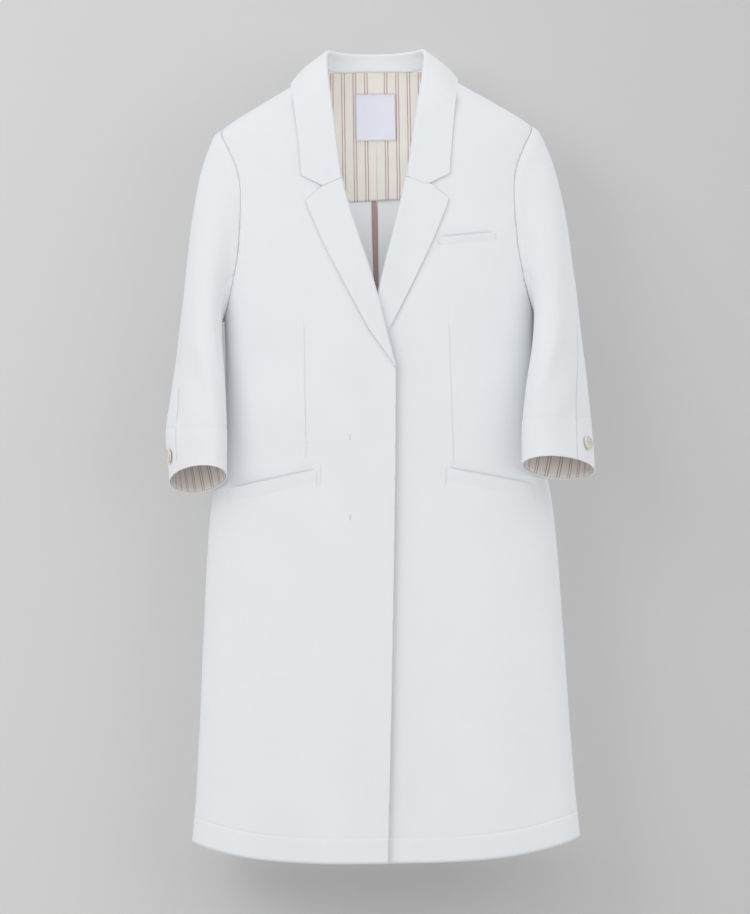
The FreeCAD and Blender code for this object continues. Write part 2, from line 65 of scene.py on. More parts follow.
# height and distance from centre of each roll line
ROLL = {-1: [(-364, -20.4), (-318, -9.0), (-266, 3.3), (-121, 44), (26, 60)],
        1: [(-364, -24.5), (-266, -0.5), (-118, 37), (-62, 46.6), (-14, 55), (26, 57.5)]}
GORGE_Z = -130.0
ARM_Z, ARM_HALF_H, ARM_HALF_D = -186.0, 118.0, 43.0
YOKE_Z = -155.0
NAMES = {-1: "right", 1: "left"}
HEM_DEPTH = 31.0
FACING_W = 60.0
NECK_ROWS = np.linspace(0, 0.055, 14)[:-1]

# height with the body's half width, its depth in front and its depth behind
HALF_WIDTH = [(-980, 243), (-945, 240), (-869, 233), (-700, 223), (-598, 217), (-541, 212),
              (-500, 205), (-470, 199), (-430, 194), (-360, 191), (-300, 192), (-240, 196),
              (-160, 199), (-100, 198.5), (-78, 196.5), (-68, 191), (-58, 178), (-40, 148.5),
              (-14, 103.5), (8, 65)]
FRONT_DEPTH = [(-980, 74), (-700, 70), (-500, 68), (-365, 67), (-290, 66), (-200, 62), (-130, 57),
               (-68, 50), (-20, 36), (8, 20)]
BACK_DEPTH = [(-980, 74), (-600, 66), (-430, 60), (-290, 66), (-160, 69), (-68, 63), (-20, 52),
              (0, 46), (8, 42)]
# height, distance out, forward shift, long and short half axes, turn of the oval
SLEEVE = {
    -1: [(-560, 226, -50, 56, 28, 28), (-500, 226, -46, 56, 28, 28), (-447, 227.5, -38, 58, 29, 30),
         (-396, 225, -27, 60, 27, 24), (-335, 222, -12, 62, 25, 13), (-284, 219, -4, 62, 24, 8)],
    1: [(-560, 218, -66, 57, 32, 42), (-490, 218, -62, 57, 32, 42), (-444, 217, -53, 58, 31, 38),
        (-396, 218, -43, 60, 29, 31), (-335, 220, -23, 62, 26, 18), (-284, 218, -9, 62, 25, 12)],
}
CUFF_Z = {-1: -499.5, 1: -491.5}
CUFF_TILT = {-1: 17.5, 1: 15.0}
CUFF_TURN = {-1: 35.0, 1: 42.0}
TUBE_TOP = -335.0
# share of the sleeve's length above its tube, and the height of each cuff facing's upper edge
HEAD_PART = 0.42
FACING_TOP = {-1: -440.0, 1: -434.0}
HIP = dict(x0=76.0, x1=190.0, z0=-489.0, slope=0.20, height=21.0, gap=9.0)
BREAST = dict(x0=72.0, x1=146.0, z0=-206.0, slope=-0.075, height=13.0, gap=6.0)
# the collar's fold from centre back to the gorge, and its leaf's edge by the share of the way along
FOLD = [(0, 45, 26.5), (26, 41.5, 27), (46, 29, 28.5), (58, 8, 29), (60, -16, 17), (57, -35, -14),
        (51, -51, -62), (47, -57, -100), (43, -60, -130)]
LEAF_X = [(0, 0), (0.18, 48), (0.36, 92), (0.5, 103), (0.62, 102), (0.75, 98.5), (0.88, 95),
          (1.0, 93)]
LEAF_Z = [(0, -36), (0.18, -35), (0.36, -23), (0.5, -11), (0.62, -30), (0.75, -62), (0.88, -100),
          (1.0, -127)]
LAPEL_EDGE = [(88, -158), (84, -170), (68.9, -206), (53.3, -238), (42.4, -260), (22.2, -298.7),
              (11.8, -318.7), (-4.3, -341.3)]
NOTCH = (67.0, -140.0)
DARTS = {-1: [(-287, 92), (-490, 92)], 1: [(-289, 86), (-491, 90)]}
DART_COLUMNS = {-1: (92.0,), 1: (86.0, 88.0, 90.0)}
# height, place, drift and width of each long fold below the waist
FLUTES = [(2.1, -150, 1.0, 34), (-1.5, -92, 1.0, 30), (1.8, -38, 0.6, 30),
          (-1.3, 52, -0.4, 26), (2.0, 112, -1.0, 32), (-1.6, 170, -1.0, 26)]
# height, angle, drift, where along the sleeve, width, middle and span of each crease of a sleeve
CREASES = [(1.7, 62, 60, 0.5, 13, 0.46, 0.2), (-1.5, 92, 60, 0.5, 14, 0.5, 0.24),
           (1.3, 20, 90, 0.6, 16, 0.7, 0.18), (-1.0, -8, 90, 0.6, 14, 0.72, 0.18)]
# shares of the roll line passed as each lapel's band ends; nothing turns the cloth over them
LAPEL_BAND = {-1: (0.98, 0.72), 1: (0.72, 0.5)}
BUTTONHOLES = (-400.0, -500.0, -600.0, -700.0)
TURN = 6.283


# ---- small mathematics -------------------------------------------------------------------------
def curve(table, column=1):
    """A monotone cubic through the table, as a function of arrays."""
    x = np.array([row[0] for row in table], float)
    y = np.array([row[column] for row in table], float)
    h = np.diff(x)
    d = np.diff(y) / h
    slope = np.concatenate([d[:1], np.zeros(len(d) - 1), d[-1:]])
    same = d[:-1] * d[1:] > 0
    slope[1:-1] = np.where(same, 2 * d[:-1] * d[1:] / np.where(same, d[:-1] + d[1:], 1.0), 0.0)

    def value(q):
        q = np.clip(q, x[0], x[-1])
        i = np.clip(np.searchsorted(x, q, side="right") - 1, 0, len(h) - 1)
        s = (q - x[i]) / h[i]
        a = (1 + 2 * s) * (1 - s) ** 2 * y[i] + s * (1 - s) ** 2 * h[i] * slope[i]
        return a + s * s * (3 - 2 * s) * y[i + 1] + s * s * (s - 1) * h[i] * slope[i + 1]
    return value


def ease(value, low, high):
    s = np.clip((value - low) / (high - low), 0, 1)
    return s * s * (3 - 2 * s)


def bump_at(value, centre, width):
    return np.exp(-((value - centre) / width) ** 2)


def unit(v):
    return v / np.linalg.norm(v, axis=-1, keepdims=True)


def points(x, y, z):
    return np.stack(np.broadcast_arrays(x, y, z), axis=-1).astype(float)


def spline(table, s):
    """Catmull-Rom through 3-D points, for s from 0 to 1, mirrored in x before the first."""
    p = np.array(table, float)
    p = np.vstack([p[1] * (-1, 1, 1), p, 2 * p[-1] - p[-2]])
    place = np.clip(s, 0, 1) * (len(table) - 1)
    i = np.minimum(place.astype(int), len(table) - 2)
    f = (place - i)[..., None]
    a, b, c, d = p[i], p[i + 1], p[i + 2], p[i + 3]
    return 0.5 * (2 * b + (c - a) * f + (2 * a - 5 * b + 4 * c - d) * f ** 2
                  + (3 * b - a - 3 * c + d) * f ** 3)


width_at, front_at, back_at = curve(HALF_WIDTH), curve(FRONT_DEPTH), curve(BACK_DEPTH)
WAVES = np.random.default_rng(11).uniform(size=(14, 4))


def ripple(a, b, low, high):
    """Slow puckers over a cloth: a sum of plane waves between two wavelengths, about 1 high."""
    total = 0.0
    for turn, length, phase, size in WAVES:
        wave = 2 * math.pi / (low + (high - low) * length)
        c, s = math.cos(TURN * turn), math.sin(TURN * turn)
        total = total + (0.4 + size) * np.sin(wave * (a * c + b * s) + TURN * phase)
    return total / 7.0


# ---- the torso ---------------------------------------------------------------------------------
def torso_raw(angle, z):
    s, c = np.sin(np.radians(angle)), np.cos(np.radians(angle))
    size = (np.abs(s) ** ROUNDNESS + np.abs(c) ** ROUNDNESS) ** (-1 / ROUNDNESS)
    depth = np.where(c > 0, front_at(z), back_at(z))
    return points(width_at(z) * size * s, -depth * size * c, z)


def drape(angle, z):
    """How the hanging cloth stands off its smooth shape."""
    p = torso_raw(angle, z)
    x = p[..., 0]
    front = np.cos(np.radians(angle)) > 0
    low = ease(-z, 430, 900)
    centres = np.where(front, 1.0, -1.0)
    lean = (z + 430) * 0.05
    flute = sum(high * bump_at(x, place + lean * drift, width) for high, place, drift, width in FLUTES)
    flute = flute * np.where(front, 1.0, -0.8)
    chest = (1.2 * bump_at(np.abs(x), 120, 40) * bump_at(z, -250, 60)
             - 1.4 * bump_at(np.abs(x), 150, 24) * bump_at(z, -330, 70))
    waist = 0.9 * bump_at(z, -400 + 0.1 * x, 26) * bump_at(np.abs(x), 150, 50)
    fine = ripple(x * centres, z, 70, 190) * (0.35 + 0.3 * ease(-z, 60, 300))
    return (1.5 * low * flute + chest + waist + fine) * ease(-z, -8, 60)


def torso(angle, z, offset=0.0):
    step = 0.5
    across = torso_raw(angle + step, z) - torso_raw(angle - step, z)
    up = torso_raw(angle, z + step) - torso_raw(angle, z - step)
    normal = unit(np.cross(across, up))
    return torso_raw(angle, z) + normal * np.asarray(offset + drape(angle, z))[..., None]


def front_angle(x, z):
    q = np.minimum(0.9995, np.abs(x) / width_at(z)) ** ROUNDNESS
    return np.copysign(np.degrees(np.arctan((q / (1 - q)) ** (1 / ROUNDNESS))), x)


def on_front(x, z, offset=0.0):
    return torso(front_angle(x, z), z, offset)


def on_back(x, z, offset=0.0):
    return torso(180 - front_angle(x, z), z, offset)


def hem_z(x):
    return -HEM_DROP + HEM_RISE * (np.abs(x) / 241.0) ** HEM_CURVE


def overlap_shift(x, z, side):
    depth = OVERLAP * ease(-z, 140, 280)
    return np.where(np.asarray(side) < 0, depth * ease(x, -95, -42), -depth * ease(-x, -62, -24))


def edge_x(z):
    s = np.clip((BREAK_Z - z) / (BREAK_Z + HEM_DROP), 0, None)
    return EDGE_X - EDGE_LEAN * s ** EDGE_POWER


def roll_x(side, z):
    """Distance of the roll line from centre on its own side, negative past the centre."""
    return curve(ROLL[side])(z)


def inner_edge(side, z):
    return np.where(z > BREAK_Z, roll_x(side, z) + 1.5 * ease(z, -128, -110), -edge_x(z))


# arc length round the section that the cloth's own coordinates are measured on
ARC_ANGLE = np.linspace(-90, 90, 721)
ARC_POINT = torso_raw(ARC_ANGLE, np.full(721, -500.0))
ARC_LENGTH = np.concatenate([[0], np.cumsum(np.linalg.norm(np.diff(ARC_POINT, axis=0), axis=1))])
ARC_LENGTH -= ARC_LENGTH[360]
ARC_HALF = ARC_LENGTH[-1]


def angle_at(arc):
    return np.interp(arc, ARC_LENGTH, ARC_ANGLE)


def raw_front(side, flat):
    """The smooth front at cloth coordinates (arc, height)."""
    return torso_raw(side * angle_at(flat[:, 0]), flat[:, 1])


def raw_back(flat):
    return torso_raw(180 - angle_at(flat[:, 0]), flat[:, 1])


def off_armhole(p):
    """Positive outside the armhole oval."""
    inside = (np.abs(p[:, 1]) / ARM_HALF_D) ** 2.5 + (np.abs(p[:, 2] - ARM_Z) / ARM_HALF_H) ** 2.5 - 1
    return np.where(np.abs(p[:, 0]) > 120, inside, 1.0)


# ---- meshes ------------------------------------------------------------------------------------
def grid(us, vs):
    """Parameter points and quads over two sorted lists."""
    u, v = np.meshgrid(us, vs, indexing="ij")
    flat = np.stack([u.ravel(), v.ravel()], axis=1)
    n = len(vs)
    faces = [[i * n + j, (i + 1) * n + j, (i + 1) * n + j + 1, i * n + j + 1]
             for i in range(len(us) - 1) for j in range(n - 1)]
    return flat, faces


def clip(flat, faces, field):
    """Keeps the part of a parameter mesh where field is positive, cut cleanly along its zero."""
    inside = field(flat) > 0
    cuts, kept = {}, []
    for face in faces:
        flags = [inside[k] for k in face]
        if all(flags):
            kept.append(face)
        elif any(flags):
            loop = []
            for a, b in zip(face, face[1:] + face[:1]):
                if inside[a]:
                    loop.append(a)
                if inside[a] != inside[b]:
                    loop.append(len(flat) + cuts.setdefault((min(a, b), max(a, b)), len(cuts)))
            if len(loop) > 2:
                kept.append(loop)
    if cuts:
        ends = np.array(list(cuts))
        first_in = inside[ends[:, 0]]
        good = np.where(first_in[:, None], flat[ends[:, 0]], flat[ends[:, 1]])
        bad = np.where(first_in[:, None], flat[ends[:, 1]], flat[ends[:, 0]])
        for _ in range(18):
            middle = (good + bad) / 2
            hit = (field(middle) > 0)[:, None]
            good, bad = np.where(hit, middle, good), np.where(hit, bad, middle)
        flat = np.vstack([flat, good])
    return flat, kept


def clip_all(flat, faces, *fields):
    for field in fields:
        flat, faces = clip(flat, faces, field)
    return flat, faces


def make_mesh(name, co, faces, uv, facing=None, merge=0.0):
    """co and uv are in millimetres. facing gives a rough outward direction at a point."""
    mesh = bpy.data.meshes.new(name)
    mesh.from_pydata((np.asarray(co) * UNIT).tolist(), [], faces)
    layer = mesh.uv_layers.new(name="cloth")
    loops = np.zeros(len(mesh.loops), int)
    mesh.loops.foreach_get("vertex_index", loops)
    layer.data.foreach_set("uv", (np.asarray(uv)[loops] * 0.001).ravel())
    bm = bmesh.new()
    bm.from_mesh(mesh)
    loose = [v for v in bm.verts if not v.link_faces]
    bmesh.ops.delete(bm, geom=loose, context="VERTS")
    if merge:
        bmesh.ops.remove_doubles(bm, verts=bm.verts[:], dist=merge * UNIT)
    if facing is not None:
        bm.faces.ensure_lookup_table()
        score = sum(f.normal.dot(facing(f.calc_center_median() / UNIT)) * f.calc_area()
                    for f in list(bm.faces)[::7])
        if score < 0:
            bmesh.ops.reverse_faces(bm, faces=bm.faces[:])
    for f in bm.faces:
        f.smooth = True
    bm.to_mesh(mesh)
    bm.free()
    obj = bpy.data.objects.new(name, mesh)
    bpy.context.scene.collection.objects.link(obj)
    return obj


def outward(p):
    """Away from the middle of the body."""
    return Vector((p.x * 0.5, p.y * 2, 25.0))


def thicken(obj, thickness, offset=-1.0):
    solid = obj.modifiers.new("thickness", "SOLIDIFY")
    solid.thickness = thickness * UNIT
    solid.offset = offset
    solid.use_even_offset = False
    return obj


def steps(low, high, size, fine=()):
    """Evenly spaced values with extra ones close to each place in fine."""
    values = list(np.linspace(low, high, max(2, int(round((high - low) / size)) + 1)))
    for place in fine:
        values += [place + k for k in (-3.0, -1.8, -1.0, -0.45, 0.0, 0.45, 1.0, 1.8, 3.0)]
    values = sorted(v for v in values if low <= v <= high)
    return np.array([v for i, v in enumerate(values) if i == 0 or v - values[i - 1] > 0.2])


# ---- materials ---------------------------------------------------------------------------------
def node(tree, kind, inputs=(), **settings):
    made = tree.nodes.new(kind)
    for key, value in settings.items():
        setattr(made, key, value)
    for key, value in dict(inputs).items():
        if isinstance(value, bpy.types.NodeSocket):
            tree.links.new(value, made.inputs[key])
        else:
            made.inputs[key].default_value = value
    return made


def maths(tree, kind, *values, clamp=False):
    return node(tree, "ShaderNodeMath", dict(enumerate(values)), operation=kind, use_clamp=clamp).outputs[0]


def mix(tree, share, a, b):
    made = node(tree, "ShaderNodeMix", {0: share}, data_type="RGBA")
    for socket, value in ((made.inputs[6], a), (made.inputs[7], b)):
        if isinstance(value, bpy.types.NodeSocket):
            tree.links.new(value, socket)
        else:
            socket.default_value = (*value, 1)
    return made.outputs[2]


def noise(tree, vector, scale, detail=3.0, rough=0.5):
    return node(tree, "ShaderNodeTexNoise", {"Vector": vector, "Scale": scale, "Detail": detail,
                                             "Roughness": rough}).outputs[0]


def bump(tree, height, strength, distance, **inputs):
    return node(tree, "ShaderNodeBump", {"Height": height, "Strength": strength,
                                         "Distance": distance, **inputs}).outputs[0]


def stretched(tree, vector, across, along):
    """Noise drawn out along the cloth, as threads are."""
    mapped = node(tree, "ShaderNodeMapping", {"Vector": vector, "Scale": (across, along, 1)})
    return noise(tree, mapped.outputs[0], 1.0, 2.0)


def new_material(name, roughness, sheen=0.0, **extra):
    mat = bpy.data.materials.new(name)
    mat.use_nodes = True
    tree = mat.node_tree
    shader = tree.nodes["Principled BSDF"]
    shader.inputs["Roughness"].default_value = roughness
    shader.inputs["Sheen Weight"].default_value = sheen
    shader.inputs["Sheen Roughness"].default_value = 0.4
    for key, value in extra.items():
        shader.inputs[key.replace("_", " ")].default_value = value
    return mat, tree, shader


def cloth_vector(tree):
    return node(tree, "ShaderNodeUVMap", uv_map="cloth").outputs[0]


def weave(tree, vector, pitch, twill=True):
    """Height of a woven surface: threads pitch metres apart, running diagonally for a twill."""
    split = node(tree, "ShaderNodeSeparateXYZ", {0: vector})
    x, y = split.outputs[0], split.outputs[1]
    wave = 2 * math.pi / pitch
    diagonal = maths(tree, "MULTIPLY", y, wave if twill else 0.0)
    across = maths(tree, "SINE", maths(tree, "ADD", maths(tree, "MULTIPLY", x, wave), diagonal))
    along = maths(tree, "SINE", maths(tree, "MULTIPLY", y, wave * 1.7))
    return maths(tree, "ADD", maths(tree, "MULTIPLY", across, 0.5), maths(tree, "MULTIPLY", along, 0.3))


def finish_cloth(tree, shader, vector, colour, pitch, strength, twill=True):
    height = maths(tree, "ADD", weave(tree, vector, pitch, twill), noise(tree, vector, 900.0, 2.0))
    fine = bump(tree, height, strength, 0.00012)
    slow = noise(tree, vector, 60.0, 4.0, 0.6)
    tree.links.new(bump(tree, slow, 0.25, 0.0006, Normal=fine), shader.inputs["Normal"])
    tree.links.new(colour, shader.inputs["Base Color"])


def plain_cloth(name, colour, dark, pitch=0.0009, roughness=0.82, sheen=0.25):
    mat, tree, shader = new_material(name, roughness, sheen, Specular_IOR_Level=0.25)
    vector = cloth_vector(tree)
    slow = noise(tree, vector, 14.0, 3.0)
    threads = stretched(tree, vector, 1400, 90)
    share = maths(tree, "ADD", maths(tree, "MULTIPLY", slow, 0.7),
                  maths(tree, "MULTIPLY", threads, 0.5), clamp=True)
    finish_cloth(tree, shader, vector, mix(tree, share, dark, colour), pitch, 0.35)
    return mat


def striped_cloth(name, centred):
    """Cream lining with pairs of fine mauve lines along the cloth's second coordinate."""
    first, pitch, half_gap = 0.0124, 0.0143, 1.6
    mat, tree, shader = new_material(name, 0.7, 0.15, Specular_IOR_Level=0.3)
    vector = cloth_vector(tree)
    split = node(tree, "ShaderNodeSeparateXYZ", {0: vector})
    x = maths(tree, "ABSOLUTE", split.outputs[0]) if centred else split.outputs[0]
    wobble = maths(tree, "MULTIPLY", maths(tree, "SUBTRACT", noise(tree, vector, 25.0, 1.0), 0.5), 0.0012)
    place = maths(tree, "DIVIDE", maths(tree, "SUBTRACT", maths(tree, "ADD", x, wobble), first), pitch)
    part = maths(tree, "SUBTRACT", maths(tree, "FRACT", maths(tree, "ADD", place, 100.5)), 0.5)
    from_pair = maths(tree, "ABSOLUTE", maths(tree, "MULTIPLY", part, pitch * 1000))
    from_line = maths(tree, "ABSOLUTE", maths(tree, "SUBTRACT", from_pair, half_gap))
    line = node(tree, "ShaderNodeMapRange", {0: from_line, 1: 0.35, 2: 0.85, 3: 1.0, 4: 0.0},
                interpolation_type="SMOOTHSTEP").outputs[0]
    if centred:
        outside = node(tree, "ShaderNodeMapRange", {0: x, 1: 0.0085, 2: 0.0090}).outputs[0]
        line = maths(tree, "MULTIPLY", line, outside)
    slub = maths(tree, "MULTIPLY", stretched(tree, vector, 600, 60), 0.5)
    line = maths(tree, "MULTIPLY", line, maths(tree, "ADD", slub, 0.6), clamp=True)
    ground = mix(tree, noise(tree, vector, 30.0), (0.80, 0.765, 0.70), (0.885, 0.86, 0.80))
    colour = mix(tree, line, ground, (0.46, 0.25, 0.26))
    finish_cloth(tree, shader, vector, colour, 0.0007, 0.3, twill=False)
    return mat


def resin(name):
    mat, tree, shader = new_material(name, 0.22, 0.0, Specular_IOR_Level=0.5, Subsurface_Weight=0.2,
                                     Subsurface_Radius=(0.002, 0.0018, 0.0014), Coat_Weight=0.3)
    where = node(tree, "ShaderNodeTexCoord").outputs["Object"]
    bands = node(tree, "ShaderNodeTexNoise", {"Vector": where, "Scale": 240.0, "Detail": 4.0,
                                              "Distortion": 1.5}).outputs[0]
    tree.links.new(mix(tree, bands, (0.62, 0.58, 0.49), (0.86, 0.84, 0.77)), shader.inputs["Base Color"])
    tree.links.new(bump(tree, bands, 0.05, 0.0002), shader.inputs["Normal"])
    return mat


def thread_material(name, colour):
    mat, tree, shader = new_material(name, 0.6, 0.3)
    where = node(tree, "ShaderNodeTexCoord").outputs["Object"]
    twist_height_and_shade = node(tree, "ShaderNodeTexWave", {"Vector": where, "Scale": 900.0, "Distortion": 2.0}).outputs[1]
    # painted shade: the thread's colour drops to 0.8 in the low parts of its twist, following the same wave
    # as its bump
    tree.links.new(mix(tree, twist_height_and_shade, tuple(c * 0.8 for c in colour), colour), shader.inputs["Base Color"])
    tree.links.new(bump(tree, twist_height_and_shade, 0.3, 0.0001), shader.inputs["Normal"])
    return mat


WHITE = plain_cloth("coat_twill", (0.87, 0.89, 0.905), (0.82, 0.845, 0.865))
POCKETING = plain_cloth("pocket_cotton", (0.80, 0.81, 0.82), (0.72, 0.73, 0.74), pitch=0.0006)
BINDING = plain_cloth("mauve_satin", (0.50, 0.33, 0.33), (0.40, 0.25, 0.255), pitch=0.0005, roughness=0.5)
LABEL = plain_cloth("label_satin", (0.83, 0.84, 0.93), (0.79, 0.80, 0.91), pitch=0.0004, roughness=0.5)
LINING = striped_cloth("striped_lining", True)
CUFF_LINING = striped_cloth("striped_cuff_lining", False)
RESIN = resin("pearl_resin")
THREAD = thread_material("cotton_thread", (0.80, 0.81, 0.80))


def dress(obj, material, replaced=()):
    obj.data.materials.clear()
    obj.data.materials.append(material)
    if replaced:
        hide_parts(*replaced)
    return obj


def cut_flat(obj, flat=None):
    """Works out a sheet of cloth's flat size, unless flat is given, from the extent of its cloth
    coordinates; the size is not used.
    """
    if flat is None:
        data = obj.data.uv_layers["cloth"].data
        uv = np.zeros(2 * len(data))
        data.foreach_get("uv", uv)
        flat = np.ptp(uv.reshape(-1, 2), axis=0)


def bend_with_skirt(obj):
    """Bakes the object's transform into its mesh."""
    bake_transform(obj)


def bend_with_sleeve(obj):
    """Bakes the object's transform into its mesh."""
    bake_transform(obj)


def bend_with_lapel(obj, start, end):
    start, end = tuple(v * UNIT for v in start), tuple(v * UNIT for v in end)
    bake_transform(obj)


# ---- stitching ---------------------------------------------------------------------------------
def stitches(name, paths, length=2.6, gap=0.9, size=0.34):
    """Small sewn stitches lying along surface paths. Each path is (points, normals) in millimetres."""
    co, faces = [], []
    ring = [(math.cos(a), math.sin(a)) for a in np.linspace(0, 2 * math.pi, 6, endpoint=False)]
    for path, normals in paths:
        lengths = np.concatenate([[0], np.cumsum(np.linalg.norm(np.diff(path, axis=0), axis=1))])
        for k in range(int((lengths[-1] - gap) / (length + gap))):
            start = gap / 2 + k * (length + gap)
            places = start + length * np.array([0.0, 0.25, 0.5, 0.75, 1.0])
            mid = np.stack([np.interp(places, lengths, path[:, i]) for i in range(3)], axis=1)
            up = unit(np.stack([np.interp(places, lengths, normals[:, i]) for i in range(3)], axis=1))
            along = unit(mid[-1] - mid[0])
            lift, girth = (-0.15, 0.22, 0.3, 0.22, -0.15), (0.55, 0.95, 1.0, 0.95, 0.55)
            base = len(co)
            for m, n, h, g in zip(mid, up, lift, girth):
                out = np.cross(along, n)
                co += [m + n * h + (out * c + n * s) * size * g for c, s in ring]
            for low in range(base, base + 24, 6):
                faces += [[low + i, low + (i + 1) % 6, low + 6 + (i + 1) % 6, low + 6 + i]
                          for i in range(6)]
            faces += [[base + i for i in range(5, -1, -1)], [base + 24 + i for i in range(6)]]
    obj = make_mesh(name, np.array(co), faces, np.array(co)[:, :2])
    return dress(obj, THREAD)


# ---- fronts ------------------------------------------------------------------------------------
def dart_x(side, z):
    (z0, x0), (z1, x1) = DARTS[side]
    return x0 + (x1 - x0) * (z - z0) / (z1 - z0)


def front_surface(side, arc, z, offset):
    """A layer of one front; arc is signed, growing away from the centre on its own side."""
    angle = side * angle_at(arc)
    x = torso_raw(angle, z)[..., 0]
    dart = ease(-z, 284, 330) * (1 - ease(-z, 478, 494))
    dart_arc = arc_of(dart_x(side, z), z)
    groove = -1.5 * bump_at(arc, dart_arc, 0.8) * dart
    groove = groove + 0.9 * bump_at(arc, dart_arc, 9.0) * dart
    fading = 0.25 + 0.75 * ease(np.abs(x), 80, 120)
    above_hem = z - hem_z(x)
    groove = groove - 0.5 * fading * bump_at(above_hem, HEM_DEPTH, 0.9)
    groove = groove + 0.2 * ease(-above_hem, -HEM_DEPTH, -HEM_DEPTH + 3)
    groove = groove - 1.1 * bump_at(arc, ARC_HALF, 1.6) + pocket_marks(side, np.abs(x), z)
    rim = x * side - inner_edge(side, z)
    lip = 0.6 * ease(-rim, -9, 0) * ease(-z, -BREAK_Z, 40 - BREAK_Z)
    return torso(angle, z, offset + groove + overlap_shift(x, z, side) - (lip if side < 0 else 0.0))


def pocket_marks(side, x, z):
    """The dip above each pocket's mouth, the tuck at its inner end, and the bag showing through."""
    total = 0.0
    for pocket in [HIP] + [BREAST] * (side > 0):
        above = z - mouth_z(pocket, x)
        x0, x1 = pocket["x0"], pocket["x1"]
        span = ease(x, x0 - 1, x0 + 12) * (1 - ease(x, x1 - 9, x1))
        total = total - 1.4 * span * bump_at(above, 0.6, 1.3)
        total = total - 0.8 * span * ease(-above, -14, 0) * (above > 0)
    tuck = ease(-z, 484, 489) * (1 - ease(-z, 508, 514))
    total = total - 1.1 * tuck * bump_at(x, 74.4, 0.9) + 0.7 * tuck * bump_at(x, 77.5, 2.0)
    bag = ease(x, 84, 92) * (1 - ease(x, 192, 204)) * ease(-z, 560, 700)
    return total + 0.4 * ease(z, -747, -743) * bag


def arc_of(x, z):
    return np.interp(front_angle(x, z), ARC_ANGLE, ARC_LENGTH)


def front_flat(side, size, fine, low=-32.0, high=ARC_HALF):
    arcs = np.unique(np.concatenate([steps(low, high, size, fine), np.arange(low, 12.0, 1.5)]))
    length = HEM_DROP + NECK_TOP
    rows = [NECK_ROWS, np.linspace(0.055, 1, int(930 / size)),
            1 - HEM_DEPTH / length + np.array([-0.003, -0.0015, -0.0006, 0, 0.0006, 0.0015, 0.003])]
    if fine:
        rows += [(NECK_TOP + np.arange(a, b, 0.9)) / length for a, b in ((201, 212), (486, 518))]
    rows = np.unique(np.concatenate(rows))
    flat, faces = grid(arcs, rows)
    x = torso_raw(side * angle_at(flat[:, 0]), np.full(len(flat), -900.0))[:, 0]
    flat[:, 1] = NECK_TOP + (hem_z(x) - NECK_TOP) * flat[:, 1]
    return flat, faces


def front_edge_field(side, back_off=0.0):
    """Positive on the cloth's side of a line back_off behind the front edge."""
    def field(p):
        return raw_front(side, p)[:, 0] * side - inner_edge(side, p[:, 1]) - back_off
    return field


def make_front(side):
    places = [(x, -390.0) for x in DART_COLUMNS[side]] + [(75.0, -498.0)]
    fine = [float(arc_of(np.array(x), np.array(z))) for x, z in places]
    flat, faces = front_flat(side, 4.0, fine + [ARC_HALF])
    flat, faces = clip_all(flat, faces, front_edge_field(side), lambda p: off_armhole(raw_front(side, p)))
    co = front_surface(side, flat[:, 0], flat[:, 1], 0.0)
    obj = make_mesh("front_%s_cloth" % NAMES[side], co, faces, flat, outward, merge=0.35)
    dress(obj, WHITE, ["front_" + NAMES[side], "skirt_" + NAMES[side]])
    bend_with_skirt(obj)
    cut_flat(obj)
    return thicken(obj, CLOTH)


def make_front_facing(side):
    """The facing behind the front edge, from the neck to the hem."""
    flat, faces = front_flat(side, 6.0, [], high=120.0)
    wide = front_edge_field(side, FACING_W)
    flat, faces = clip_all(flat, faces, front_edge_field(side, 1.0), lambda p: -wide(p),
                           lambda p: 4.0 - p[:, 1])
    co = front_surface(side, flat[:, 0], flat[:, 1], -CLOTH - 0.5)
    obj = make_mesh("front_%s_facing" % NAMES[side], co, faces, flat, outward, merge=0.35)
    dress(obj, WHITE, ["facing_" + NAMES[side], "neck_facing_" + NAMES[side]])
    bend_with_skirt(obj)
    cut_flat(obj)
    return thicken(obj, 0.7)


def make_placket():
    """The flap inside the right front that carries the buttonholes."""
    side, skin = -1, -CLOTH - 1.8

    def off_buttonhole(p, z):
        x = np.abs(raw_front(side, p)[:, 0])
        return (x / 10.0) ** 4 + (np.abs(p[:, 1] - z) / 0.9) ** 4 - 1
    flat, faces = front_flat(side, 2.5, [], high=60.0)
    wide = front_edge_field(side, 50.0)
    flat, faces = clip_all(flat, faces, front_edge_field(side, 2.5), lambda p: -wide(p),
                           lambda p: -372.0 - p[:, 1], lambda p: p[:, 1] + 748.0)
    for z in BUTTONHOLES:
        flat, faces = clip(flat, faces, lambda p: off_buttonhole(p, z))
    co = front_surface(side, flat[:, 0], flat[:, 1], skin)
    obj = make_mesh("fly_placket", co, faces, flat, outward, merge=0.2)
    dress(obj, WHITE, ["fly_placket_upper", "fly_placket_lower"])
    bend_with_skirt(obj)
    cut_flat(obj)
    return thicken(obj, 0.8)


# ---- back --------------------------------------------------------------------------------------
def back_surface(side, arc, z, offset):
    """arc runs from 0 at centre back out to the side seam."""
    angle = 180.0 - side * angle_at(arc)
    groove = -1.1 * bump_at(arc, ARC_HALF, 1.6) - 0.9 * bump_at(arc, 0.0, 1.3)
    x = torso_raw(angle, z)[..., 0]
    groove = groove - 0.55 * bump_at(z - hem_z(x), HEM_DEPTH, 0.9)
    return torso(angle, z, offset + groove)


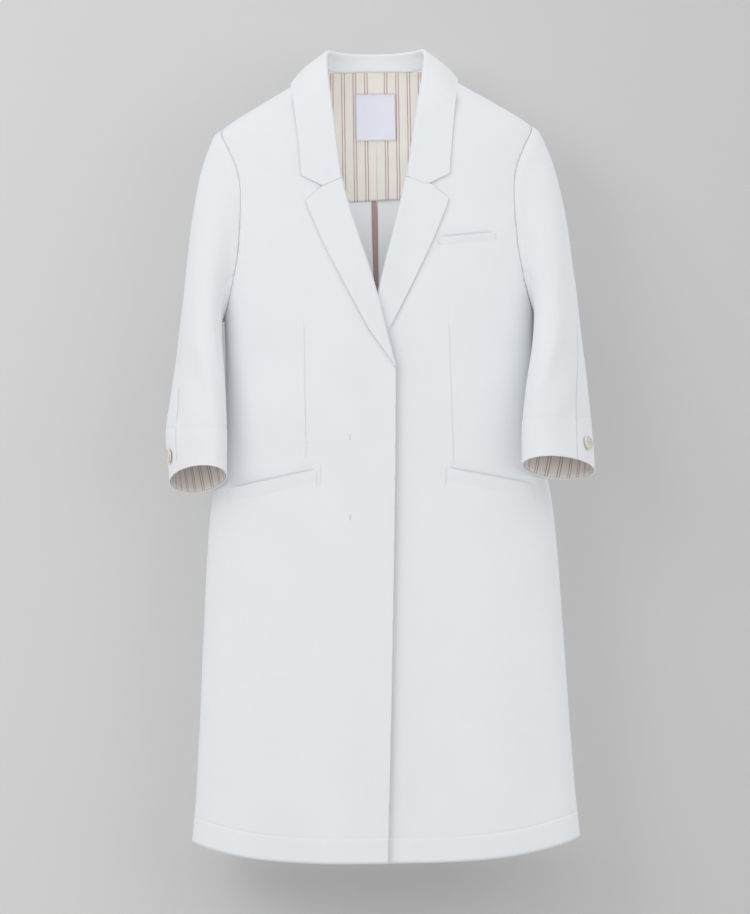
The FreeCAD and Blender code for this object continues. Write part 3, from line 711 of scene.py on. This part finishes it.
def make_back(side):
    arcs = steps(0.0, ARC_HALF, 5.0, [0.0, ARC_HALF])
    rows = np.concatenate([NECK_ROWS, np.linspace(0.055, 1, 200)])
    flat, faces = grid(arcs, rows)
    x = torso_raw(180 - angle_at(flat[:, 0]), np.full(len(flat), -900.0))[:, 0]
    near = torso_raw(180 - angle_at(flat[:, 0]), np.full(len(flat), -20.0))[:, 0] / 110.0
    top = np.minimum(NECK_TOP, 0.5 + 7.0 * near ** 2)
    flat[:, 1] = top + (hem_z(x) - top) * flat[:, 1]
    flat, faces = clip(flat, faces, lambda p: off_armhole(raw_back(p)))
    co = back_surface(side, flat[:, 0], flat[:, 1], 0.0)
    obj = make_mesh("back_%s_cloth" % NAMES[side], co, faces, flat, outward, merge=0.35)
    dress(obj, WHITE, ["back_" + NAMES[side]])
    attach(obj, "coat")
    cut_flat(obj)
    return thicken(obj, CLOTH)


# ---- inside of the back ---------------------------------------------------------------------
def lining_surface(x, z, offset):
    """The yoke lining, with its centre pleat folded over at the middle."""
    pleat = 1.5 * ease(x, -0.25, 0.25) * (1 - ease(x, 11.0, 15.0)) * ease(-z, 60, 120)
    tuck = 1.0 * ease(x, -9.0, -1.0) * (1 - ease(x, -0.4, 0.0)) * ease(-z, 80, 150)
    soft = 0.6 * np.sin(x / 17.0) * ease(-z, 20, 150)
    return on_back(x, z, offset - 1.9 - 0.9 * ease(-z, -2, 14) - pleat + tuck - soft)


def make_yoke():
    xs = steps(-120.0, 120.0, 4.0, [0.0, 12.0])
    flat, faces = grid(xs, np.linspace(0, 1, 60))
    low = YOKE_Z + 1.2 * np.sin(flat[:, 0] / 23.0) - 2.5 * (np.abs(flat[:, 0]) / 120.0) ** 2
    top = 4.0 - 26.0 * ease(np.abs(flat[:, 0]), 62, 120)
    flat[:, 1] = top + (low - top) * flat[:, 1]
    co = lining_surface(flat[:, 0], flat[:, 1], 0.0)
    obj = make_mesh("yoke_lining_cloth", co, faces, flat, outward)
    dress(obj, LINING, ["yoke_lining"])
    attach(obj, "coat")
    cut_flat(obj)
    return thicken(obj, 0.6, offset=0.0)


def make_tape():
    """The bound edge of the centre back seam, hanging below the yoke lining."""
    flat, faces = grid(np.linspace(-1, 1, 9), np.linspace(0, 1, 90))
    z = YOKE_Z + 1.0 - 793.0 * flat[:, 1]
    middle = -3.6 + 2.6 * ease(-z, 155, 420)
    x = middle + flat[:, 0] * (3.6 - 1.2 * ease(-z, 155, 330))
    clear = ease(-z, 156, 185)
    roll = 1.4 * clear * (1 - flat[:, 0] ** 2) ** 0.5
    co = on_back(x, z, -CLOTH - 0.35 - roll - (0.4 + 0.5 * np.sin(z / 31.0)) * clear)
    obj = make_mesh("centre_back_tape", co, faces, np.stack([x, z], axis=1), outward)
    dress(obj, BINDING, ["centre_back_binding"])
    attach(obj, "coat")
    cut_flat(obj, (0.016, 0.793))
    return thicken(obj, 0.6, offset=0.0)


def make_label():
    left, right, low, high = -25.4, 24.2, -80.0, -22.0
    flat, faces = grid(np.linspace(left, right, 41), np.linspace(low, high, 47))
    x, z = flat[:, 0], flat[:, 1]
    rim = np.minimum(np.minimum(x - left, right - x), np.minimum(z - low, high - z))
    co = on_back(x, z, -5.0 - 0.35 * ease(-rim, -2.2, -0.6) - 0.3 * np.sin(x / 9.0) * ease(-z, 30, 80))
    obj = make_mesh("blank_label", co, faces, flat, outward)
    dress(obj, LABEL, ["neck_label"])
    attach(obj, "coat")
    cut_flat(obj)
    return thicken(obj, 0.5, offset=1.0)


# ---- pockets -----------------------------------------------------------------------------------
def mouth_z(pocket, x):
    return pocket["z0"] - pocket["slope"] * (np.abs(x) - pocket["x0"])


def welt_surface(side, pocket, x, v, offset):
    """v is 0 at the mouth and 1 at the seam; the welt leans out a little in the middle of the mouth."""
    z = mouth_z(pocket, x) - pocket["height"] * v
    share = (np.abs(x) - pocket["x0"]) / (pocket["x1"] - pocket["x0"])
    stand = pocket["gap"] * 0.26 * (1 - v) ** 1.6 * np.sin(np.pi * np.clip(share, 0, 1)) ** 0.7
    sunk = 1.1 * np.maximum(ease(v, 0.25, 0.95), ease(np.abs(share - 0.5), 0.40, 0.5))
    x = side * np.abs(x)
    return on_front(x, z, offset + 0.75 + stand - sunk + overlap_shift(x, z, side))


def make_welt(name, side, pocket, node_name):
    xs = steps(pocket["x0"], pocket["x1"], 3.0, [pocket["x0"], pocket["x1"]])
    flat, faces = grid(xs, np.array([0, 0.03, 0.08, 0.2, 0.35, 0.5, 0.65, 0.8, 0.9, 0.94, 0.97, 1]))
    co = welt_surface(side, pocket, flat[:, 0], flat[:, 1], 0.0)
    uv = np.stack([flat[:, 0], -flat[:, 1] * pocket["height"]], axis=1)
    obj = make_mesh(name, co, faces, uv, outward)
    dress(obj, WHITE, [node_name])
    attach(obj, "coat")
    cut_flat(obj)
    return thicken(obj, 1.3)


def make_bag(name, side, pocket, low_z, node_name, room):
    """A flat pocket bag: two layers joined at the sides and foot, open at the mouth."""
    hip = pocket is HIP
    x0, x1 = pocket["x0"] + 12.0 * hip, pocket["x1"] + 6.0 * hip
    flat, faces = grid(np.linspace(0, 2, 33), np.linspace(0, 1, 30))
    u, v = flat[:, 0], flat[:, 1]
    share = np.where(u <= 1, u, 2 - u)
    across = x0 + (x1 - x0) * share
    top = mouth_z(pocket, across) - 4.0
    z = top + (low_z - top) * v
    swell = np.sin(np.pi * np.clip(share, 0, 1)) ** 0.4 * (1 - v ** 6) ** 0.5
    depth = np.where(u <= 1, -2.0, -2.4 - room * swell)
    co = on_front(side * across, z, depth + overlap_shift(side * across, z, side))
    obj = make_mesh(name, co, faces, np.stack([across, z], axis=1))
    dress(obj, POCKETING, [node_name])
    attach(obj, "coat")
    size = (2 * (x1 - x0) * 0.001, (top.max() - low_z) * 0.001)
    cut_flat(obj, size)
    return thicken(obj, 0.5, offset=0.0)


# ---- collar and lapels ----------------------------------------------------------------------
def round_off(d, radius):
    """A quarter circle from 0 at d = 0 to 1 at the radius."""
    return np.sqrt(np.clip(1 - (1 - np.minimum(d, radius) / radius) ** 2, 0, 1))


def lift(d):
    """Height of a turned-back collar or lapel above the front, d from its fold: a soft roll."""
    return round_off(d, 3.5) * (2.5 + 3.4 * np.exp(-d / 16.0))


def tuck_in(d):
    """Depth of the same cloth behind the front, d from its fold."""
    return -3.2 * round_off(d, 3.0)


def fold_at(side, s):
    p = spline(FOLD, s)
    shift = 7.0 * ease(s, 0.45, 0.95) if side > 0 else 0.0
    return p - points(shift, 0, 0)


def collar_point(side, s, t):
    """s runs from centre back to the gorge; t is -1 at the neck seam, 0 at the fold, 1 at the edge."""
    fold = fold_at(side, s)
    ex, ez = curve(LEAF_X)(s), curve(LEAF_Z)(s)
    ex = ex - (3.5 * ease(s, 0.38, 0.5) if side > 0 else 0.0)
    back = on_back(ex, ez, 2.8)
    fore = on_front(ex, ez, 2.8)
    turn = ease(s, 0.34, 0.66)[..., None]
    edge = back * (1 - turn) + fore * turn
    way = unit(edge - fold)
    ahead = unit(fold_at(side, s + 0.004) - fold_at(side, s - 0.004))
    up = unit(np.cross(ahead, way))
    up = up * np.where(up[..., 2:] + 0.3 * np.abs(up[..., 1:2]) < 0, -1, 1)
    size = np.linalg.norm(edge - fold, axis=-1)
    out = np.clip(t, 0, 1)
    d_out, d_in = out * size, np.clip(-t, 0, 1) * (26.0 - 11.0 * ease(s, 0.3, 0.7))
    r = 2.6
    swell = 4.2 * np.sin(np.pi * out) * ease(1 - s, 0.0, 0.2)
    sink = 1.6 * ease(d_in, 8, 22) * (1 - ease(s, 0.3, 0.5))
    high = r * round_off(d_out, r) + swell - r * round_off(d_in, r) - sink
    solid = fold + way * (d_out + d_in)[..., None] + up * high[..., None]
    # near the gorge the collar lies on the front instead
    fx, fz = fold[..., 0], fold[..., 2]
    x = fx + (ex - fx) * out + d_in
    dip = np.where(out < 0.48, -10.0 * out / 0.48, -10.0 + 13.0 * (out - 0.48) / 0.52)
    dip = dip - (ez - fz) * out
    z = fz + (ez - fz) * out + dip * ease(s, 0.86, 1.0) ** 2
    height = np.where(t >= 0, lift(d_out), tuck_in(d_in)) + overlap_shift(side * x, z, side)
    laid = on_front(x, z, height)
    share = ease(s, 0.60, 0.78)[..., None]
    return (solid * (1 - share) + laid * share) * (side, 1, 1)


def make_collar(side):
    t = np.concatenate([-np.linspace(1, 0.15, 8),
                        [-0.10, -0.06, -0.03, -0.01, 0, 0.004, 0.012, 0.03, 0.05, 0.08, 0.12],
                        np.linspace(0.16, 0.96, 18), [0.98, 0.99, 1.0]])
    s = np.unique(np.concatenate([np.linspace(0, 1, 90), [0.0015, 0.004, 0.985, 0.992, 0.996]]))
    flat, faces = grid(s, t)
    co = collar_point(side, flat[:, 0], flat[:, 1])
    uv = np.stack([flat[:, 0] * 215.0, flat[:, 1] * 60.0], axis=1)
    obj = make_mesh("collar_%s_cloth" % NAMES[side], co, faces, uv)
    turn_out(obj, 2, 1)
    dress(obj, WHITE, ["top_collar", "under_collar", "collar_stand"])
    start, end = [fold_at(side, np.array(s)) * (side, 1, 1) for s in (0.66, 0.97)]
    bend_with_lapel(obj, start, end)
    cut_flat(obj, (0.25, 0.105))
    return thicken(obj, 1.9)


def turn_out(obj, axis, way):
    """Flips the mesh if its furthest face along the axis looks back."""
    furthest = max(obj.data.polygons, key=lambda f: f.center[axis] * way)
    if furthest.normal[axis] * way < 0:
        bm = bmesh.new()
        bm.from_mesh(obj.data)
        bmesh.ops.reverse_faces(bm, faces=bm.faces[:])
        bm.to_mesh(obj.data)
        bm.free()


def lapel_point(side, v, t):
    """v runs down the roll line; t is -1 behind the front, 0 at the roll, 1 at the outer edge."""
    z_roll = GORGE_Z + (BREAK_Z - GORGE_Z) * v
    x_roll = roll_x(side, z_roll)
    edge = np.array(LAPEL_EDGE + [(float(roll_x(side, BREAK_Z)), BREAK_Z - 0.6)], float)
    lengths = np.concatenate([[0], np.cumsum(np.linalg.norm(np.diff(edge, axis=0), axis=1))])
    place = v ** 0.92 * lengths[-1]
    ex, ez = np.interp(place, lengths, edge[:, 0]), np.interp(place, lengths, edge[:, 1])
    out = np.clip(t, 0, 1)
    gorge_x = float(roll_x(side, GORGE_Z))
    share = (NOTCH[0] - gorge_x) / (edge[0, 0] - gorge_x)
    straight = GORGE_Z + (edge[0, 1] - GORGE_Z) * share
    near_notch = np.minimum(out / share, (1 - out) / (1 - share))
    raise_notch = (NOTCH[1] - straight) * near_notch * np.exp(-v / 0.07)
    inner = np.clip(-t, 0, 1) * 22.0 * (1 - 0.6 * v)
    x = x_roll + (ex - x_roll) * out + inner
    z = z_roll + (ez - z_roll) * out + raise_notch - 0.2 * inner
    d = np.hypot(x - x_roll, z - z_roll)
    fade = 1 - 0.45 * ease(v, 0.6, 1.0)
    high = np.where(t >= 0, lift(d) * fade, tuck_in(inner) * fade)
    return on_front(side * x, z, high + overlap_shift(side * x, z, side))


def make_lapel(side):
    t = np.concatenate([-np.linspace(1, 0.2, 5),
                        [-0.12, -0.06, -0.02, 0, 0.004, 0.012, 0.025, 0.045, 0.07, 0.1, 0.14],
                        np.linspace(0.18, 0.96, 20), [0.98, 0.99, 1.0]])
    v = np.unique(np.concatenate([np.linspace(0, 1, 80), [0.004, 0.008, 0.02]]))
    flat, faces = grid(v, t)
    co = lapel_point(side, flat[:, 0], flat[:, 1])
    uv = np.stack([flat[:, 1] * 60.0, flat[:, 0] * -230.0], axis=1)
    obj = make_mesh("lapel_%s_cloth" % NAMES[side], co, faces, uv)
    turn_out(obj, 1, -1)
    dress(obj, WHITE, ["lapel_" + NAMES[side], "lapel_under_" + NAMES[side]])
    ends = [lapel_point(side, np.array(v), np.array(0.0)) for v in LAPEL_BAND[side]]
    bend_with_lapel(obj, ends[0], ends[1])
    cut_flat(obj, (0.09, 0.25))
    return thicken(obj, 1.7)


# ---- sleeves -----------------------------------------------------------------------------------
def tube_point(side, theta, z):
    out, forward, long_half, short_half, turn = [curve(SLEEVE[side][::1], k)(z) for k in range(1, 6)]
    c, s = short_half * np.cos(np.radians(theta)), long_half * np.sin(np.radians(theta))
    ct, st = np.cos(np.radians(turn)), np.sin(np.radians(turn))
    return points(side * (out + c * ct - s * st), forward - c * st - s * ct, z)


def armhole_point(side, theta, gap=0.3):
    s, c = np.sin(np.radians(theta)), np.cos(np.radians(theta))
    size = (np.abs(s) ** 2.5 + np.abs(c) ** 2.5) ** -0.4
    y, z = -ARM_HALF_D * size * s, ARM_Z + ARM_HALF_H * size * c
    depth = np.where(y < 0, front_at(z), back_at(z))
    x = width_at(z) * (1 - (np.abs(y) / depth) ** ROUNDNESS) ** (1 / ROUNDNESS)
    return points(side * (x + gap), y, z)


def cuff_height(side, theta):
    return CUFF_Z[side] + CUFF_TILT[side] * np.sin(np.radians(theta + CUFF_TURN[side]))


def sleeve_raw(side, theta, v):
    level = np.full(np.shape(theta), TUBE_TOP)
    top, start = armhole_point(side, theta), tube_point(side, theta, level)
    low = np.clip((v - HEAD_PART) / (1 - HEAD_PART), 0, 1)
    tube = tube_point(side, theta, TUBE_TOP + (cuff_height(side, theta) - TUBE_TOP) * low)
    reach = np.linalg.norm(start - top, axis=-1)[..., None]
    down = unit(start - tube_point(side, theta, level + 1.0))
    high = 0.5 + 0.5 * np.cos(np.radians(theta))
    out = unit(points(side, 0.0, -0.55 * high))
    b, c = top + out * (0.10 * reach), start - down * (0.62 * reach)
    s = np.clip(v / HEAD_PART, 0, 1)[..., None]
    head = top * (1 - s) ** 3 + b * (3 * s * (1 - s) ** 2) + c * (3 * s * s * (1 - s)) + start * s ** 3
    return np.where((v >= HEAD_PART)[..., None], tube, head)


def sleeve_folds(side, theta, v, z):
    """Creases of the hanging sleeve, its seams and its turned-up cuff."""
    seams = -0.9 * (bump_at(theta, 120, 1.6) + bump_at(theta, 240, 1.6))
    band = (-0.6 * bump_at(z, FACING_TOP[side] + 4.0, 1.0)
            + 0.35 * ease(-z, -FACING_TOP[side] - 4.0, -FACING_TOP[side]))
    top = bump_at(theta % 360, 0, 80), bump_at(theta % 360, 360, 80)
    head = 1.6 * bump_at(v, 0.045, 0.035) * (0.4 + 0.6 * top[0] + 0.6 * top[1])
    fold = sum(high * bump_at(theta, angle + drift * (v - start), width) * bump_at(v, middle, span)
               for high, angle, drift, start, width, middle, span in CREASES)
    soft = 0.7 * ripple(theta * 0.9, z * (1 + 0.1 * side) + 300 * side, 60, 150) * ease(v, 0.04, 0.2)
    return seams + band + head + fold + soft


def sleeve(side, theta, v, offset):
    across = sleeve_raw(side, theta + 1.0, v) - sleeve_raw(side, theta - 1.0, v)
    down = (sleeve_raw(side, theta, np.minimum(1, v + 0.01))
            - sleeve_raw(side, theta, np.maximum(0, v - 0.01)))
    normal = unit(np.cross(across, down) * side)
    p = sleeve_raw(side, theta, v)
    return p + normal * np.asarray(offset + sleeve_folds(side, theta, v, p[..., 2]))[..., None]


def sleeve_outward(side):
    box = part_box("top_sleeve_" + NAMES[side])
    middle = (np.array(box[0]) + np.array(box[1])) / 2 / UNIT

    def away(p):
        q = np.array(p) - middle
        return Vector((q[0], q[1], 0.0))
    return away


def make_sleeve(side):
    seams = np.array([120.0, 240.0])
    near_seams = [seams + k for k in (-1.8, -1.0, -0.4, 0.4, 1.0, 1.8)]
    thetas = np.unique(np.concatenate([np.linspace(0.0, 360.0, 121)] + near_seams))
    vs = np.unique(np.concatenate([np.linspace(0, HEAD_PART, 52), np.linspace(HEAD_PART, 1, 52),
                                   [0.755, 0.765, 0.77, 0.775, 0.78, 0.79, 0.997]]))
    flat, faces = grid(vs, thetas)
    co = sleeve(side, flat[:, 1], flat[:, 0], 0.0)
    uv = np.stack([flat[:, 1] * 0.78, flat[:, 0] * -420.0], axis=1)
    obj = make_mesh("sleeve_%s_cloth" % NAMES[side], co, faces, uv, sleeve_outward(side), merge=0.05)
    dress(obj, WHITE, ["top_sleeve_" + NAMES[side], "under_sleeve_" + NAMES[side]])
    bend_with_sleeve(obj)
    cut_flat(obj)
    return thicken(obj, CLOTH)


def make_cuff_lining(side):
    top = HEAD_PART + (1 - HEAD_PART) * (FACING_TOP[side] - TUBE_TOP) / (CUFF_Z[side] - TUBE_TOP)
    flat, faces = grid(np.linspace(top, 0.993, 14), np.linspace(0, 360, 121))
    co = sleeve(side, flat[:, 1], flat[:, 0], -CLOTH - 0.9)
    slanted = flat[:, 1] * 0.795 - 8.0 + 2.0 * np.sin(flat[:, 1] / 20.0) + flat[:, 0] * 70.0
    uv = np.stack([slanted, flat[:, 0] * -300.0], axis=1)
    obj = make_mesh("cuff_lining_" + NAMES[side], co, faces, uv, sleeve_outward(side), merge=0.05)
    dress(obj, CUFF_LINING, ["cuff_facing_" + NAMES[side]])
    bend_with_sleeve(obj)
    cut_flat(obj)
    return thicken(obj, 0.6)


# ---- sewn details ----------------------------------------------------------------------------
def straight(surface, a, b):
    """A stitch path from a to b on surface(x, z, offset), as points and normals."""
    x, z = np.linspace(a[0], b[0], 40), np.linspace(a[1], b[1], 40)
    base = surface(x, z, 0.0)
    return base, unit(surface(x, z, 1.0) - base)


def make_stitching():
    def on_label(x, z, offset):
        return on_back(x, z, -5.4 - offset)
    corners = [(-24.2, -23.2), (23.0, -23.2), (23.0, -78.8), (-24.2, -78.8), (-24.2, -23.2)]
    sides = [straight(on_label, a, b) for a, b in zip(corners, corners[1:])]
    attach(stitches("label_stitching", sides, length=1.7, gap=0.8, size=0.2), "coat")

    def on_coat(x, z, offset):
        return on_front(x, z, 0.35 + offset + overlap_shift(x, z, np.where(x < 0, -1, 1)))
    tacks = []
    for side, pocket in ((-1, HIP), (1, HIP), (1, BREAST)):
        for x in (pocket["x0"] + 2.5, pocket["x0"] + 4.0, pocket["x1"] - 1.0):
            z = float(mouth_z(pocket, x))
            foot = z - pocket["height"] + 1.0
            tacks.append(straight(on_coat, (side * x, z - 1.0), (side * x, foot)))
    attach(stitches("pocket_stitching", tacks, length=1.9, gap=0.7, size=0.25), "coat")
    fly = [straight(on_coat, (x + k, z + 4.0), (x + k, z - 4.0))
           for x, z in ((-38.0, -450.0), (-39.0, -549.0)) for k in (0.0, 0.7)]
    bend_with_skirt(stitches("fly_tacks", fly, length=1.9, gap=0.5, size=0.25))


# ---- camera, light and backdrop ----------------------------------------------------------------
def look_from_the_front():
    camera = bpy.data.objects.new("camera", bpy.data.cameras.new("camera"))
    bpy.context.scene.collection.objects.link(camera)
    distance, frame_height, lean = 9.0, 1.1242, math.radians(0.8)
    middle_x, front_y, middle_z = -0.0074, -0.068, -0.4749
    camera.data.sensor_width = 36.0
    camera.data.lens = 36.0 * distance / frame_height
    camera.data.clip_end = 60.0
    camera.matrix_world = (Matrix.Translation((middle_x, front_y - distance, middle_z))
                           @ Matrix.Rotation(lean, 4, "Y") @ Matrix.Rotation(math.pi / 2, 4, "X"))
    bpy.context.scene.camera = camera


def area_light(name, place, aim, size, power):
    data = bpy.data.lights.new(name, "AREA")
    data.shape = "RECTANGLE"
    data.size, data.size_y = size
    data.energy = power
    light = bpy.data.objects.new(name, data)
    bpy.context.scene.collection.objects.link(light)
    turn = (Vector(aim) - Vector(place)).to_track_quat("-Z", "Y")
    light.matrix_world = Matrix.Translation(place) @ turn.to_matrix().to_4x4()


def backdrop():
    """A pale wall close behind the coat, seen from the front only, and a pale floor, both with painted
    shade that darkens them from left to right. The wall lets light through to the coat's back."""
    mat, tree, shader = new_material("studio_paper", 0.9)
    where = node(tree, "ShaderNodeTexCoord").outputs["Object"]
    x = node(tree, "ShaderNodeSeparateXYZ", {0: where}).outputs[0]
    # painted shade: the paper's colour darkens from left to right, standing in for the key light falling
    # off across wall and floor
    across = node(tree, "ShaderNodeMapRange", {0: x, 1: -0.5, 2: 0.5}).outputs[0]
    painted_falloff_tone = mix(tree, across, (0.70, 0.697, 0.688), (0.61, 0.606, 0.60))
    painted_falloff_tone = mix(tree, maths(tree, "MULTIPLY", noise(tree, where, 3.0), 0.06), painted_falloff_tone, (0.5, 0.5, 0.5))
    tree.links.new(painted_falloff_tone, shader.inputs["Base Color"])
    wall_mat = mat.copy()
    wall_mat.name = "studio_wall"
    tree = wall_mat.node_tree
    behind = node(tree, "ShaderNodeNewGeometry").outputs["Backfacing"]
    clear = node(tree, "ShaderNodeBsdfTransparent")
    paper = tree.nodes["Principled BSDF"].outputs[0]
    both = node(tree, "ShaderNodeMixShader", {0: behind, 1: paper, 2: clear.outputs[0]})
    tree.links.new(both.outputs[0], tree.nodes["Material Output"].inputs["Surface"])
    y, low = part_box("back_right")[1].y + 0.014, -1.3
    for name, corners, material in (
            ("wall", [(-3, y, low), (3, y, low), (3, y, 2.2), (-3, y, 2.2)], wall_mat),
            ("floor", [(-6, -6, low), (6, -6, low), (6, 6, low), (-6, 6, low)], mat)):
        mesh = bpy.data.meshes.new(name)
        mesh.from_pydata(corners, [], [(0, 1, 2, 3)])
        mesh.materials.append(material)
        obj = bpy.data.objects.new(name, mesh)
        bpy.context.scene.collection.objects.link(obj)
        if name == "wall":
            obj.visible_diffuse = obj.visible_shadow = False
    world = bpy.data.worlds.new("studio")
    world.use_nodes = True
    world.node_tree.nodes["Background"].inputs[0].default_value = (1.0, 1.0, 1.02, 1)
    world.node_tree.nodes["Background"].inputs[1].default_value = 0.80
    bpy.context.scene.world = world


look_from_the_front()
backdrop()
area_light("key", (-2.2, -2.4, 1.2), (0, 0, -0.4), (2.0, 2.0), 25.0)
area_light("fill", (2.4, -2.4, -0.2), (0, 0, -0.5), (2.4, 2.4), 14.0)
area_light("back", (0.8, 3.0, 1.2), (0, 0, -0.4), (2.0, 2.0), 14.0)
area_light("glow_inside", (0.0, -0.02, -0.13), (0.0, 1.0, -0.13), (0.15, 0.22), 0.08)
bpy.context.scene.view_settings.view_transform = "Standard"

for side in (-1, 1):
    make_front(side)
    make_front_facing(side)
    make_back(side)
    make_collar(side)
    make_lapel(side)
    make_sleeve(side)
    make_cuff_lining(side)
    make_welt("hip_welt_%s_cloth" % NAMES[side], side, HIP, "hip_welt_" + NAMES[side])
    make_bag("hip_bag_%s_cloth" % NAMES[side], side, HIP, -742.0, "hip_pocket_bag_" + NAMES[side],
             8.0)
make_placket()
make_yoke()
make_tape()
make_label()
make_welt("breast_welt_cloth", 1, BREAST, "breast_welt")
make_bag("breast_bag_cloth", 1, BREAST, -316.0, "breast_pocket_bag", 4.0)
make_stitching()
for material, pattern, ends in ((RESIN, "cuff_button_%s", ("right", "left")),
                                (RESIN, "fly_buttons_%s", ("upper", "lower")),
                                (THREAD, "cuff_button_thread_%s", ("right", "left")),
                                (THREAD, "fly_button_threads_%s", ("upper", "lower"))):
    for end in ends:
        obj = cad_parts[pattern % end]
        obj.data.materials.clear()
        obj.data.materials.append(material)
